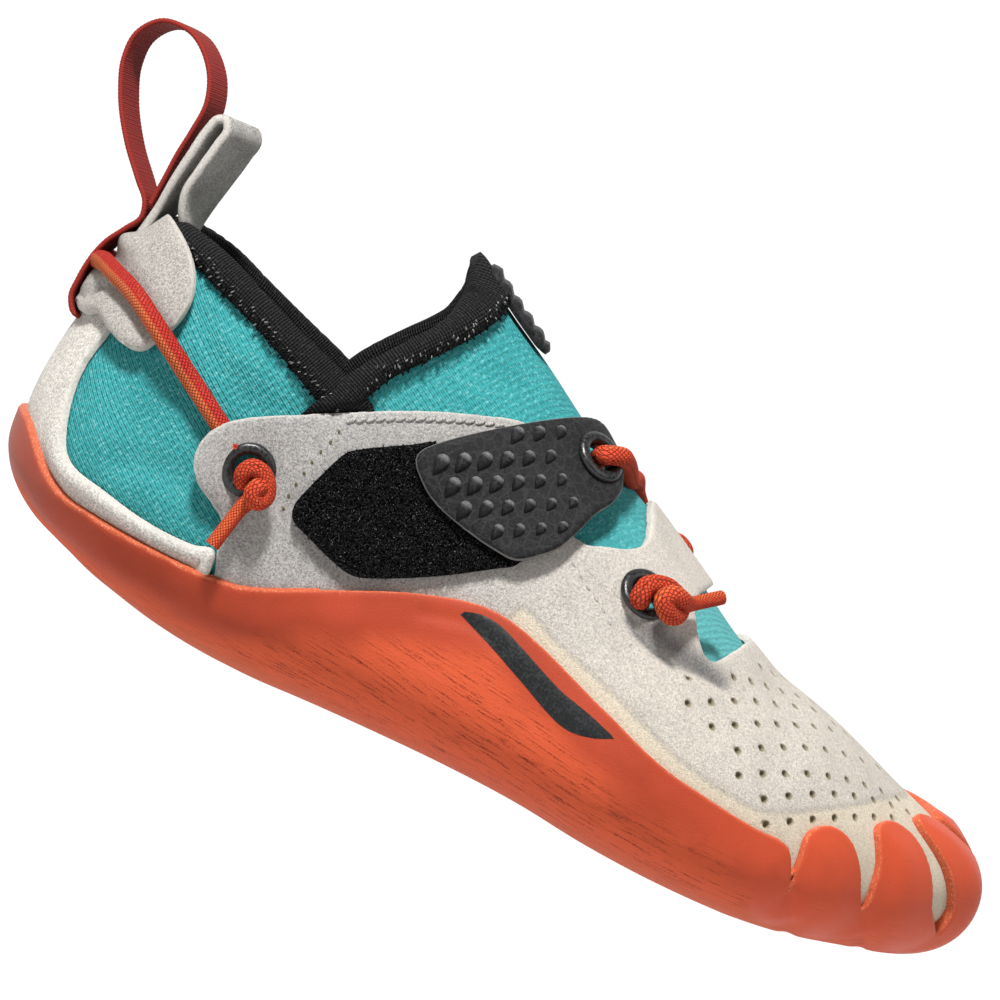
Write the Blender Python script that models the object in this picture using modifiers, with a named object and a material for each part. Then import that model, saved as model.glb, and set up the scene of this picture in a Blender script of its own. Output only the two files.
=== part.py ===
"""Child's climbing shoe for the right foot, modelled as a maker builds it.

The last, which is the solid shape of the foot, is one function: a spine along the foot, an outline seen
from above, and rounded half sections between them. Shells are cut between two forms that lie at fixed
distances from the last. Lengths are millimetres until a mesh is made. +X points to the toe, +Y to the
inner side of the foot and +Z up. The floor is at zero and the origin is under the middle of the heel.
"""

import math
from collections import namedtuple

import bmesh
import bpy
import numpy as np
from mathutils import Vector

MM = 0.001
WELD = 0.005  # points nearer than this are one point

# Driving sizes of the shoe, and those of the sample shoe that the tables below describe
SHOE_LENGTH = 190.0
BALL_WIDTH = 78.0
INSTEP_HEIGHT = 84.0
SAMPLE_LENGTH = 190.0
SAMPLE_BALL_WIDTH = 78.0
SAMPLE_INSTEP_HEIGHT = 84.0
GRADE = np.array(
    [SHOE_LENGTH / SAMPLE_LENGTH, BALL_WIDTH / SAMPLE_BALL_WIDTH, INSTEP_HEIGHT / SAMPLE_INSTEP_HEIGHT]
)
HEEL_REST_X = 52.0  # the middle of the heel's flat spot, from the back of the heel

# Layers, as distances from the surface of the last, outward positive. Pieces lie a small gap apart.
GAP = 0.3
SOCK_WALL = 1.6
BINDING_INNER = -SOCK_WALL - 0.5
BINDING_OUTER = 0.7
SUEDE_INNER = GAP
SUEDE_OUTER = SUEDE_INNER + 1.4
RUBBER_INNER = SUEDE_OUTER + GAP
RUBBER_SIDE = RUBBER_INNER + 1.8
RUBBER_TREAD = RUBBER_INNER + 3.2
INSOLE_UNDER = -SOCK_WALL - GAP
INSOLE_TOP = INSOLE_UNDER - 1.8
RUBBER_FILL = INSOLE_UNDER + GAP  # the middle of the sole fills the opening under the sock
RUBBER_FILL_ANGLE = -70.0  # the filled middle, as an angle of the last's half section
SADDLE_INNER = SUEDE_OUTER + GAP
SADDLE_OUTER = SADDLE_INNER + 1.5
PATCH_INNER = SUEDE_OUTER + GAP
PATCH_OUTER = PATCH_INNER + 1.6
STRAP_INNER = PATCH_OUTER + GAP
STRAP_OUTER = STRAP_INNER + 2.0
TONGUE_PATCH_INNER = BINDING_OUTER + GAP
TONGUE_PATCH_OUTER = TONGUE_PATCH_INNER + 1.3

# Round pieces
CORD_RADIUS = 1.75
EYELET_RADIUS = 4.6
EYELET_HOLE = 2.5
EYELET_HEIGHT = 1.2
CURVE_ROOM = 0.3  # how far a ring is lifted so that the curved layer under it stays clear
KNOT_RADIUS = 3.3
TAIL_RADIUS = 1.3
TUBE_STEP = 5.0  # length of a cord between two of its points

# How finely the last is divided: round the heel, along a side, round the toe, below and above the widest line
HEEL_STEPS = 10
SIDE_STEPS = 12
TOE_STEPS = 14
LOW_STEPS = 6
HIGH_STEPS = 7

# The spine: where it runs seen from above, the underside of the foot and the ridge over it.
# Above the collar the ridge is the leg that the last would have.
Spine = namedtuple("Spine", "x y bottom ridge")
SPINE = [
    Spine(28.0, 0.0, 7.6, 82.0),
    Spine(38.0, 0.0, 5.7, 89.5),
    Spine(48.0, 0.0, 4.8, 92.0),
    Spine(58.0, 0.0, 4.8, 86.0),
    Spine(66.0, 0.2, 5.3, 79.6),
    Spine(80.0, 0.8, 6.0, 71.6),
    Spine(95.0, 1.8, 6.5, 63.0),
    Spine(110.0, 3.2, 6.3, 55.8),
    Spine(122.0, 4.4, 5.3, 49.4),
    Spine(134.0, 5.4, 4.8, 43.0),
    Spine(142.0, 5.8, 4.8, 39.9),
    Spine(150.0, 6.0, 5.0, 37.9),
]
HEEL_AXIS = SPINE[0].x
TOE_AXIS = SPINE[-1].x

# The widest line seen from above, from the back of the heel round by the outer side, the toe and the
# inner side: its height, and how square the half section is below and above it (2 is an ellipse)
Edge = namedtuple("Edge", "place x y height low_square high_square")
OUTLINE = [
    Edge("heel back", 2.6, 0.0, 30.0, 2.5, 1.75),
    Edge("heel outer", 11.5, -18.0, 27.0, 2.5, 1.95),
    Edge("heel side outer", 28.0, -23.8, 24.0, 2.5, 2.3),
    Edge("ankle outer", 50.0, -25.2, 21.5, 2.5, 2.2),
    Edge("waist outer", 75.0, -27.4, 20.0, 2.4, 2.1),
    Edge("joint outer", 100.0, -31.6, 18.0, 2.4, 2.0),
    Edge("ball outer", 125.0, -33.8, 16.0, 2.5, 2.0),
    Edge("small toe root", 145.0, -29.8, 15.0, 2.4, 2.0),
    Edge("small toe", 160.0, -21.4, 15.5, 2.3, 2.0),
    Edge("middle toe", 173.0, -9.2, 16.8, 2.2, 2.0),
    Edge("second toe", 182.0, 3.2, 18.2, 2.1, 2.0),
    Edge("toe tip", 186.2, 13.5, 19.0, 2.1, 2.0),
    Edge("big toe", 184.4, 22.0, 19.0, 2.1, 2.0),
    Edge("big toe side", 175.0, 29.4, 18.2, 2.2, 2.1),
    Edge("big toe root", 160.0, 33.4, 17.2, 2.3, 2.1),
    Edge("ball inner", 140.0, 34.2, 16.5, 2.4, 2.1),
    Edge("joint inner", 120.0, 30.4, 17.5, 2.3, 2.0),
    Edge("arch inner", 100.0, 25.6, 19.5, 2.0, 2.0),
    Edge("waist inner", 78.0, 23.2, 21.5, 1.9, 2.1),
    Edge("ankle inner", 52.0, 23.6, 22.5, 2.2, 2.2),
    Edge("heel side inner", 28.0, 23.4, 24.0, 2.5, 2.3),
    Edge("heel inner", 11.5, 17.8, 27.0, 2.5, 1.95),
]

# The upper edge of the rubber along both sides, seen from the side
Rim = namedtuple("Rim", "x height")
RIM = [
    Rim(0.0, 22.5),
    Rim(5.0, 18.0),
    Rim(11.0, 13.4),
    Rim(19.0, 11.4),
    Rim(42.0, 11.2),
    Rim(52.0, 13.6),
    Rim(65.0, 20.0),
    Rim(80.0, 27.0),
    Rim(90.0, 29.3),
    Rim(100.0, 27.8),
    Rim(114.0, 23.4),
    Rim(128.0, 18.6),
    Rim(144.0, 16.6),
    Rim(156.0, 16.4),
]

# The toe of the rubber is cut into fingers. The angle is the finger's end, about the toe axis from the
# outer side, and the notch there is cut down to the height given.
Finger = namedtuple("Finger", "place end_angle notch peak")
RUBBER_START = Finger("side", 17.0, 9.0, 16.4)
FINGERS = [
    Finger("small toe", 50.0, 11.6, 22.6),
    Finger("middle toes", 83.0, 14.5, 28.0),
    Finger("second toe", 104.0, 18.0, 30.6),
]
BIG_TOE_PEAK = 32.4
FINGER_SQUARE = 1.8
FINGER_STEPS = 8


def spline(knots, values, at):
    """Reads a smooth curve through values at the knots."""
    knots = np.asarray(knots, float)
    values = np.asarray(values, float)
    slopes = np.gradient(values, knots, axis=0)
    i = np.clip(np.searchsorted(knots, at) - 1, 0, len(knots) - 2)
    width = knots[i + 1] - knots[i]
    t = (np.clip(at, knots[0], knots[-1]) - knots[i]) / width
    start = (1 + 2 * t) * (1 - t) ** 2 * values[i] + t * (1 - t) ** 2 * width * slopes[i]
    end = t * t * (3 - 2 * t) * values[i + 1] - t * t * (1 - t) * width * slopes[i + 1]
    return start + end


def spine_at(x):
    """Place seen from above, underside and ridge of the spine at x."""
    return spline([row.x for row in SPINE], [row[1:] for row in SPINE], x)


def outline_knots():
    """The closed outline with three rows repeated past each end, and its running length."""
    rows = OUTLINE[-3:] + OUTLINE + OUTLINE[:4]
    values = np.array([row[1:] for row in rows])
    steps = np.hypot(*np.diff(values[:, :2], axis=0).T)
    run = np.concatenate([[0], np.cumsum(steps)])
    return run - run[3], values


RUN_KNOTS, EDGE_VALUES = outline_knots()
OUTLINE_LENGTH = RUN_KNOTS[-4]


def edge_at(run):
    """x, y, height and the two squareness values of the outline, at a running length from the heel."""
    return spline(RUN_KNOTS, EDGE_VALUES, run % OUTLINE_LENGTH)


RUNS = np.linspace(0, OUTLINE_LENGTH, 1200)
RUN_X = np.array([edge_at(run)[0] for run in RUNS])
TOE_TIP = int(RUN_X.argmax())


def run_at(x, side):
    """Running length at which the outer (-1) or inner (+1) side of the outline passes x."""
    if side < 0:
        return float(np.interp(x, RUN_X[:TOE_TIP], RUNS[:TOE_TIP]))
    return float(np.interp(-x, -RUN_X[TOE_TIP:], RUNS[TOE_TIP:]))


def section_point(run, angle):
    """A point of the last: angle -90 is under the spine, 0 the widest line and 90 the ridge."""
    x, y, height, low_square, high_square = edge_at(run)
    base_x = min(max(x, HEEL_AXIS), TOE_AXIS)
    base_y, bottom, ridge = spine_at(base_x)
    square = low_square if angle < 0 else high_square
    across = abs(math.cos(math.radians(angle)))
    rise = abs(math.sin(math.radians(angle)))
    reach = (across**square + rise**square) ** (-1 / square)
    across *= reach
    rise *= reach
    limit = bottom if angle < 0 else ridge
    point = np.array([base_x + (x - base_x) * across, base_y + (y - base_y) * across, 0.0])
    lean = (point[0] - base_x) * (1 - across**2)
    point[2] = height + (limit - height) * rise + lean * end_slope(base_x, angle)
    return point * GRADE


def end_slope(base_x, angle):
    """Slope with which the spine runs on past the heel axis or the toe axis."""
    column = 1 if angle < 0 else 2
    step = 0.5
    if base_x >= TOE_AXIS:
        return (spine_at(TOE_AXIS)[column] - spine_at(TOE_AXIS - step)[column]) / step
    if base_x <= HEEL_AXIS and angle < 0:
        return (spine_at(HEEL_AXIS + step)[column] - spine_at(HEEL_AXIS)[column]) / step
    return 0.0


def perimeter(heel_steps, side_steps, toe_steps):
    """Running lengths round the outline, with outer and inner side at the same places along the spine."""
    stations = np.linspace(HEEL_AXIS, TOE_AXIS, side_steps + 1)
    outer = [run_at(x, -1) for x in stations]
    inner = [run_at(x, 1) for x in stations]
    heel = np.linspace(inner[0] - OUTLINE_LENGTH, outer[0], heel_steps + 1)
    toe = np.linspace(outer[-1], inner[-1], toe_steps + 1)
    return list(heel[:-1]) + outer[:-1] + list(toe[:-1]) + inner[:0:-1]


Surface = namedtuple("Surface", "points normals angles faces")
LAST_ANGLES = [*np.linspace(-90, 0, LOW_STEPS + 1), *np.linspace(0, 90, HIGH_STEPS + 1)[1:]]


def last_surface():
    """The closed surface of the last: points, outward normals, section angles and faces."""
    mesh = bmesh.new()
    layer = mesh.verts.layers.float.new("angle")
    columns = []
    for run in perimeter(HEEL_STEPS, SIDE_STEPS, TOE_STEPS):
        columns.append([mesh.verts.new(section_point(run, angle)) for angle in LAST_ANGLES])
        for vert, angle in zip(columns[-1], LAST_ANGLES):
            vert[layer] = angle
    for first, second in zip(columns, columns[1:] + columns[:1]):
        for row in range(len(LAST_ANGLES) - 1):
            mesh.faces.new((first[row], second[row], second[row + 1], first[row + 1]))
    bmesh.ops.remove_doubles(mesh, verts=mesh.verts, dist=WELD)
    bmesh.ops.triangulate(mesh, faces=mesh.faces, quad_method="FIXED")
    bmesh.ops.recalc_face_normals(mesh, faces=mesh.faces)
    mesh.normal_update()
    mesh.verts.index_update()
    points = np.array([vert.co for vert in mesh.verts])
    normals = np.array([vert.normal for vert in mesh.verts])
    angles = np.array([[vert[layer]] for vert in mesh.verts])
    faces = [[vert.index for vert in face.verts] for face in mesh.faces]
    mesh.free()
    return Surface(points, normals, angles, faces)


def last_normal(point):
    """Outward normal of the last at one of its points."""
    return LAST.normals[np.abs(LAST.points - point).sum(axis=1).argmin()]


def to_world(point):
    """Moves a point to the shoe's origin and turns it into metres."""
    return Vector(((point[0] - HEEL_REST_X) * MM, point[1] * MM, point[2] * MM))


def make_object(name, points, faces, collection):
    """A mesh object from points in millimetres, its faces turned outward."""
    mesh = bmesh.new()
    verts = [mesh.verts.new(to_world(point)) for point in points]
    for face in faces:
        mesh.faces.new([verts[i] for i in face])
    bmesh.ops.recalc_face_normals(mesh, faces=mesh.faces)
    data = bpy.data.meshes.new(name)
    mesh.to_mesh(data)
    mesh.free()
    piece = bpy.data.objects.new(name, data)
    collection.objects.link(piece)
    return piece


def as_cutter(piece):
    """Marks an object as a cutter, which isn't a piece of the shoe."""
    piece.hide_render = True
    piece.display_type = "WIRE"
    return piece


def boolean(piece, operation, cutter):
    """Cuts or keeps part of a piece with another object."""
    modifier = piece.modifiers.new(cutter.name, "BOOLEAN")
    modifier.operation = operation
    modifier.object = cutter


def form(name, distance, collection):
    """A closed form at a distance from the last, one for all or one for each point."""
    return make_object(name, LAST.points + LAST.normals * distance, LAST.faces, collection)


def rubber_form(name, collection):
    """The outside of the rubber: thicker below, and flat where heel and ball stand on the floor."""
    below = np.clip(-LAST.normals[:, 2:], 0, 1) ** 2
    points = LAST.points + LAST.normals * (RUBBER_SIDE + (RUBBER_TREAD - RUBBER_SIDE) * below)
    points[:, 2] = np.maximum(points[:, 2], 0)
    return make_object(name, points, LAST.faces, collection)


def prism(name, outline, low_y, high_y):
    """A cutter with a smooth outline seen from the side, from low_y to high_y across the shoe."""
    curve = bpy.data.curves.new(name, "CURVE")
    curve.dimensions = "2D"
    curve.fill_mode = "BOTH"
    curve.resolution_u = 2
    curve.extrude = (high_y - low_y) / 2 * MM
    run = curve.splines.new("BEZIER")
    run.bezier_points.add(len(outline) - 1)
    for knot, row in zip(run.bezier_points, outline):
        x, height = row[0] * GRADE[0], row[1] * GRADE[2]
        knot.co = ((x - HEEL_REST_X) * MM, height * MM, 0)
        knot.handle_left_type = knot.handle_right_type = "VECTOR" if len(row) > 2 else "AUTO"
    run.use_cyclic_u = True
    guide = bpy.data.objects.new(name, curve)
    guide.rotation_euler = (math.pi / 2, 0, 0)
    guide.location = (0, (low_y + high_y) / 2 * MM, 0)
    CUTTERS.objects.link(guide)
    return as_cutter(curve_to_mesh(guide))


def curve_to_mesh(guide):
    """Turns a curve object into a closed mesh object of the same name and place."""
    bpy.context.view_layer.update()
    data = bpy.data.meshes.new_from_object(guide.evaluated_get(bpy.context.evaluated_depsgraph_get()))
    mesh = bmesh.new()
    mesh.from_mesh(data)
    bmesh.ops.remove_doubles(mesh, verts=mesh.verts, dist=WELD * MM)
    bmesh.ops.recalc_face_normals(mesh, faces=mesh.faces)
    mesh.to_mesh(data)
    mesh.free()
    name = guide.name
    collection = guide.users_collection[0]
    world = guide.matrix_world.copy()
    bpy.data.objects.remove(guide)
    piece = bpy.data.objects.new(name, data)
    piece.matrix_world = world
    collection.objects.link(piece)
    return piece


def material(name, colour, roughness):
    """A plain finish for a piece."""
    finish = bpy.data.materials.new(name)
    finish.use_nodes = True
    shader = finish.node_tree.nodes["Principled BSDF"]
    shader.inputs["Base Color"].default_value = (*colour, 1)
    shader.inputs["Roughness"].default_value = roughness
    return finish


def finish_piece(piece, finish):
    """Gives a piece its material and smooth shading with sharp edges kept."""
    piece.data.materials.append(finish)
    piece.data.shade_smooth()
    piece.data.set_sharp_from_angle(angle=math.radians(40))
    return piece


def toe_angle(run):
    """Angle about the toe axis from the outer side, in degrees, of a place on the outline."""
    x, y = edge_at(run)[:2]
    return math.degrees(math.atan2(x - TOE_AXIS, SPINE[-1].y - y))


def run_at_toe_angle(angle):
    """Running length at which the outline passes an angle about the toe axis."""
    runs = np.linspace(run_at(TOE_AXIS, -1), run_at(TOE_AXIS, 1), 400)
    return float(np.interp(angle, [toe_angle(run) for run in runs], runs))


def side_rim(x):
    """Height of the rubber's edge along a side."""
    return float(spline([row.x for row in RIM], [row.height for row in RIM], x))


def finger_arch(share, start, end, peak):
    """Height of a rubber finger's edge, at a share of its width between two notches."""
    foot = start + (end - start) * share
    return foot + (peak - foot) * (1 - abs(2 * share - 1) ** FINGER_SQUARE) ** (1 / FINGER_SQUARE)


def rim_line():
    """Running length and height along the whole upper edge of the rubber."""
    line = []
    for run in perimeter(HEEL_STEPS, SIDE_STEPS, 1)[: HEEL_STEPS + SIDE_STEPS]:
        line.append((run, side_rim(edge_at(run)[0])))
    side_end = run_at_toe_angle(RUBBER_START.end_angle)
    side_start = run_at(TOE_AXIS, -1)
    drop = RUBBER_START.peak - RUBBER_START.notch
    for step in range(FINGER_STEPS):
        share = math.sin(math.pi / 2 * step / FINGER_STEPS)
        height = RUBBER_START.notch + drop * (1 - share**4) ** 0.5
        line.append((side_start + (side_end - side_start) * share, height))
    start = RUBBER_START
    for finger in FINGERS:
        first, last = run_at_toe_angle(start.end_angle), run_at_toe_angle(finger.end_angle)
        for step in range(FINGER_STEPS):
            share = (1 - math.cos(math.pi * step / FINGER_STEPS)) / 2
            height = finger_arch(share, start.notch, finger.notch, finger.peak)
            line.append((first + (last - first) * share, height))
        start = finger
    return line + big_toe_rim(start)


def big_toe_rim(start):
    """The rubber's edge from the last notch over the big toe and down to the inner side."""
    line = []
    first, last = run_at_toe_angle(start.end_angle), run_at(TOE_AXIS, 1)
    side_height = side_rim(TOE_AXIS)
    for step in range(2 * FINGER_STEPS):
        share = step / (2 * FINGER_STEPS)
        arch = finger_arch(min(share * 2, 0.5), start.notch, start.notch, BIG_TOE_PEAK)
        fall = (1 + math.cos(math.pi * max(0, share - 0.25) / 0.75)) / 2
        line.append((first + (last - first) * share, side_height + (arch - side_height) * fall))
    stations = np.linspace(HEEL_AXIS, TOE_AXIS, SIDE_STEPS + 1)[::-1]
    return line + [(run_at(x, 1), side_rim(x)) for x in stations[:-1]]


def rim_cutter(name):
    """Everything below the rubber's upper edge: a lid ruled inward from the edge, on a deep block."""
    outside, inside, floor, middle = 14.0, 0.45, -20.0, 20.0
    points = []
    line = rim_line()
    for run, height in line:
        x, y = edge_at(run)[:2]
        base_x = min(max(x, HEEL_AXIS), TOE_AXIS)
        base = np.array([base_x, spine_at(base_x)[0]])
        edge = np.array([x, y]) - base
        outer = base + edge * (1 + outside / np.hypot(*edge))
        inner = base + edge * inside
        points += [(*base, floor), (*outer, floor), (*outer, height), (*inner, height), (*base, middle)]
    faces = []
    for i in range(len(line)):
        here, there = 5 * i, 5 * ((i + 1) % len(line))
        for row in range(4):
            faces.append((here + row, there + row, there + row + 1, here + row + 1))
    cutter = make_object(name, points, faces, CUTTERS)
    mesh = bmesh.new()
    mesh.from_mesh(cutter.data)
    bmesh.ops.remove_doubles(mesh, verts=mesh.verts, dist=WELD * MM)
    bmesh.ops.recalc_face_normals(mesh, faces=mesh.faces)
    mesh.to_mesh(cutter.data)
    mesh.free()
    return as_cutter(cutter)


def build_outsole():
    """The wrapped rubber, cut to its upper edge and toe fingers."""
    sole = rubber_form("outsole", SHOE)
    boolean(sole, "INTERSECT", rim_cutter("rubber edge"))
    inside = np.where(LAST.angles < RUBBER_FILL_ANGLE, RUBBER_FILL, RUBBER_INNER)
    boolean(sole, "DIFFERENCE", as_cutter(form("inside of rubber", inside, CUTTERS)))
    return finish_piece(sole, material("orange rubber", (0.78, 0.22, 0.05), 0.55))


# Outlines seen from the side, as x and height. A row that ends in "corner" is a sharp corner.
BINDING_TOP = [
    (-15.0, 67.0, "corner"),
    (12.0, 66.0),
    (26.0, 63.6),
    (38.0, 59.4),
    (49.5, 55.6, "corner"),
    (54.6, 63.0),
    (58.7, 69.2),
    (61.0, 76.0),
    (61.4, 88.0, "corner"),
]
BINDING_LOW = [
    (-15.0, 60.4, "corner"),
    (10.0, 60.0),
    (22.0, 56.0),
    (31.0, 52.4),
    (40.0, 49.2),
    (49.3, 48.4, "corner"),
    (54.5, 54.0),
    (60.5, 63.2),
    (65.2, 69.6),
    (67.4, 76.0),
    (67.4, 90.0, "corner"),
]
MOUTH_TOP = 140.0
SUEDE = [
    (44.6, 9.0, "corner"),
    (42.8, 16.2, "corner"),
    (40.6, 21.8),
    (36.4, 24.2),
    (33.0, 27.2),
    (31.6, 31.0),
    (32.6, 35.2),
    (36.4, 39.2),
    (45.1, 44.6),
    (59.9, 52.8),
    (74.4, 59.0),
    (80.5, 60.8),
    (84.8, 59.3),
    (90.0, 53.2),
    (95.0, 48.2),
    (99.3, 46.7),
    (104.0, 48.6),
    (108.0, 50.6),
    (108.9, 53.4),
    (107.4, 57.5),
    (106.0, 62.0, "corner"),
    (106.0, 80.0, "corner"),
    (210.0, 60.0, "corner"),
    (210.0, 12.0, "corner"),
    (150.0, 10.5, "corner"),
]
INSTEP_WINDOW = [
    (124.4, 58.0, "corner"),
    (121.2, 47.6),
    (122.0, 44.4),
    (124.9, 40.6),
    (127.6, 38.6),
    (129.6, 39.2),
    (133.4, 44.2),
    (136.0, 58.0, "corner"),
]
HEEL_BAND = [
    (-10.0, 10.8, "corner"),
    (28.0, 10.5, "corner"),
    (44.1, 9.0, "corner"),
    (42.3, 16.1, "corner"),
    (38.0, 14.8),
    (26.0, 14.2),
    (17.0, 14.9),
    (12.0, 17.2),
    (9.2, 22.0),
    (8.4, 29.0),
    (9.4, 37.0),
    (11.0, 47.0, "corner"),
    (-10.0, 47.0, "corner"),
]
HEEL_SADDLE = [
    (-12.0, 43.4, "corner"),
    (4.0, 43.3),
    (9.0, 41.6),
    (13.0, 41.4),
    (16.0, 44.4),
    (18.2, 52.0),
    (17.2, 57.0),
    (13.0, 59.2),
    (8.0, 58.4),
    (-12.0, 58.2, "corner"),
]
LOOP_PATCH = [
    (51.0, 29.4, "corner"),
    (54.9, 42.4, "corner"),
    (67.5, 50.4, "corner"),
    (84.0, 53.0, "corner"),
    (92.0, 43.0, "corner"),
    (89.6, 37.4, "corner"),
    (78.0, 29.7, "corner"),
    (66.0, 23.4, "corner"),
    (54.0, 26.5, "corner"),
]
STRAP_TAB = [
    (66.5, 47.4),
    (68.6, 51.0),
    (82.6, 62.2),
    (89.8, 66.4),
    (93.6, 66.6),
    (98.6, 62.8),
    (101.2, 57.2),
    (99.2, 52.4),
    (96.2, 44.8),
    (91.4, 40.0),
    (87.6, 39.0),
    (79.0, 40.0),
    (71.0, 42.2),
]
TONGUE_PATCH = [
    (64.0, 62.0, "corner"),
    (79.0, 62.0, "corner"),
    (79.0, 96.0, "corner"),
    (64.0, 96.0, "corner"),
]
TONGUE_PATCH_HALF = 9.0
SOCK_FLOOR_SHARE = 0.62  # how far out the sock's underside is cut away, of its half width


def plan_cutter(name, share, low, high):
    """A cutter with the last's own outline seen from above, drawn in to a share of its width."""
    runs = perimeter(HEEL_STEPS, SIDE_STEPS, TOE_STEPS)
    points = []
    for run in runs:
        x, y = edge_at(run)[:2]
        base_x = min(max(x, HEEL_AXIS), TOE_AXIS)
        base_y = spine_at(base_x)[0]
        place = (base_x + (x - base_x) * share, base_y + (y - base_y) * share)
        points += [(*place, low), (*place, high)]
    count = len(runs)
    faces = [(2 * i, 2 * i + 1, (2 * i + 3) % (2 * count), (2 * i + 2) % (2 * count)) for i in range(count)]
    faces += [list(range(0, 2 * count, 2)), list(range(1, 2 * count, 2))]
    return as_cutter(make_object(name, points, faces, CUTTERS))


def above(line, top):
    """Outline of everything above a line that runs from behind the heel to the tongue."""
    return line + [(line[-1][0], top, "corner"), (line[0][0], top, "corner")]


def below_by(line, gap):
    """A line a gap below another one, and in front of it where it climbs the tongue."""
    return [(x + gap, height - gap, *kind) for x, height, *kind in line]


def shell(name, inner, outer):
    """A shell between two distances from the last, whole until it is cut to its outline."""
    piece = form(name, outer, SHOE)
    boolean(piece, "DIFFERENCE", as_cutter(form("inside of " + name, inner, CUTTERS)))
    return piece


def keep(piece, outline, low_y=-60, high_y=60):
    """Keeps what lies inside an outline seen from the side."""
    boolean(piece, "INTERSECT", prism("outline of " + piece.name, outline, low_y, high_y))


def build_sock():
    """The knit sock, open at the collar and underneath."""
    sock = shell("sock_upper", -SOCK_WALL, 0)
    mouth = above(below_by(BINDING_LOW, 0.5), MOUTH_TOP)
    boolean(sock, "DIFFERENCE", prism("mouth of sock", mouth, -60, 60))
    boolean(sock, "DIFFERENCE", plan_cutter("sole opening", SOCK_FLOOR_SHARE, -5, 20))
    finish_piece(sock, material("turquoise knit", (0.02, 0.35, 0.36), 0.9))


def build_binding():
    """The knit band round the mouth of the sock."""
    band = shell("collar_binding", BINDING_INNER, BINDING_OUTER)
    boolean(band, "INTERSECT", prism("low edge of binding", above(BINDING_LOW, MOUTH_TOP), -60, 60))
    boolean(band, "DIFFERENCE", prism("mouth of binding", above(BINDING_TOP, MOUTH_TOP + 1), -61, 61))
    finish_piece(band, material("black knit", (0.012, 0.012, 0.013), 0.85))


def build_suede():
    """Vamp, quarters and instep bridge, the band round the heel and the saddle behind it."""
    suede = material("pale suede", (0.50, 0.47, 0.42), 0.95)
    upper = shell("suede_upper", SUEDE_INNER, SUEDE_OUTER)
    keep(upper, SUEDE)
    boolean(upper, "DIFFERENCE", prism("instep window", INSTEP_WINDOW, -60, 60))
    for spot in EYELETS:
        if spot.seat == SUEDE_OUTER:
            boolean(upper, "DIFFERENCE", eyelet_hole(spot))
    finish_piece(upper, suede)
    band = shell("heel_band", SUEDE_INNER, SUEDE_OUTER)
    keep(band, HEEL_BAND)
    finish_piece(band, suede)
    saddle = shell("heel_saddle", SADDLE_INNER, SADDLE_OUTER)
    keep(saddle, HEEL_SADDLE)
    finish_piece(saddle, suede)


def build_closure():
    """The fuzzy patch, the rubber tab of the strap over it, and the patch on the tongue."""
    patch = shell("loop_patch", PATCH_INNER, PATCH_OUTER)
    keep(patch, LOOP_PATCH, -60, 0)
    finish_piece(patch, material("black pile", (0.010, 0.010, 0.012), 0.9))
    rubber = material("black rubber", (0.030, 0.031, 0.034), 0.5)
    tab = shell("strap_tab", STRAP_INNER, STRAP_OUTER)
    keep(tab, STRAP_TAB, -60, 0)
    boolean(tab, "DIFFERENCE", eyelet_hole(TAB_EYELET))
    finish_piece(tab, rubber)
    front = shell("tongue_patch", TONGUE_PATCH_INNER, TONGUE_PATCH_OUTER)
    keep(front, TONGUE_PATCH, -TONGUE_PATCH_HALF, TONGUE_PATCH_HALF)
    finish_piece(front, rubber)


# Eyelets: place seen from the side, outer (-1) or inner (+1) side, and the layer that they sit on
Eyelet = namedtuple("Eyelet", "name x height side seat")
TAB_EYELET = Eyelet("eyelet_strap_tab", 95.0, 60.9, -1, STRAP_OUTER)
EYELETS = [
    Eyelet("eyelet_heel_outer", 40.4, 32.1, -1, SUEDE_OUTER),
    Eyelet("eyelet_heel_inner", 40.4, 32.1, 1, SUEDE_OUTER),
    Eyelet("eyelet_vamp_outer", 113.1, 43.7, -1, SUEDE_OUTER),
    Eyelet("eyelet_vamp_inner", 116.0, 50.0, 1, SUEDE_OUTER),
    TAB_EYELET,
]


def surface_frame(run, angle):
    """A point of the last and the outward normal there."""
    step = 0.2
    along = section_point(run + step, angle) - section_point(run - step, angle)
    up = section_point(run, angle + step) - section_point(run, angle - step)
    normal = np.cross(along, up)
    return section_point(run, angle), normal / np.linalg.norm(normal)


def at_height(run, height, distance):
    """Point and normal at a distance from the last, on the half section at run, at a height."""
    low, high = -60.0, 89.0
    for _ in range(40):
        angle = (low + high) / 2
        point, normal = surface_frame(run, angle)
        if point[2] + normal[2] * distance < height:
            low = angle
        else:
            high = angle
    return point + normal * distance, normal


def place(x, height, side, distance):
    """Point and normal on the outer (-1) or inner (+1) side at a place seen from the side."""
    station = x
    for _ in range(6):
        point, normal = at_height(run_at(station, side), height, distance)
        station += x - point[0]
    return point, normal


def stand_on(piece, point, normal):
    """Puts a piece at a point with its own Z along the normal."""
    piece.location = to_world(point)
    piece.rotation_euler = Vector(normal).to_track_quat("Z", "Y").to_euler()


def eyelet_hole(spot):
    """A cutter for the hole under an eyelet."""
    point, normal = place(spot.x, spot.height, spot.side, spot.seat)
    bpy.ops.mesh.primitive_cylinder_add(vertices=16, radius=EYELET_HOLE * MM, depth=6 * MM)
    cutter = bpy.context.object
    cutter.name = "hole for " + spot.name
    stand_on(cutter, point, normal)
    return as_cutter(move_to(cutter, CUTTERS))


def move_to(piece, collection):
    """Puts an object in one collection only."""
    for owner in list(piece.users_collection):
        owner.objects.unlink(piece)
    collection.objects.link(piece)
    return piece


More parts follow.
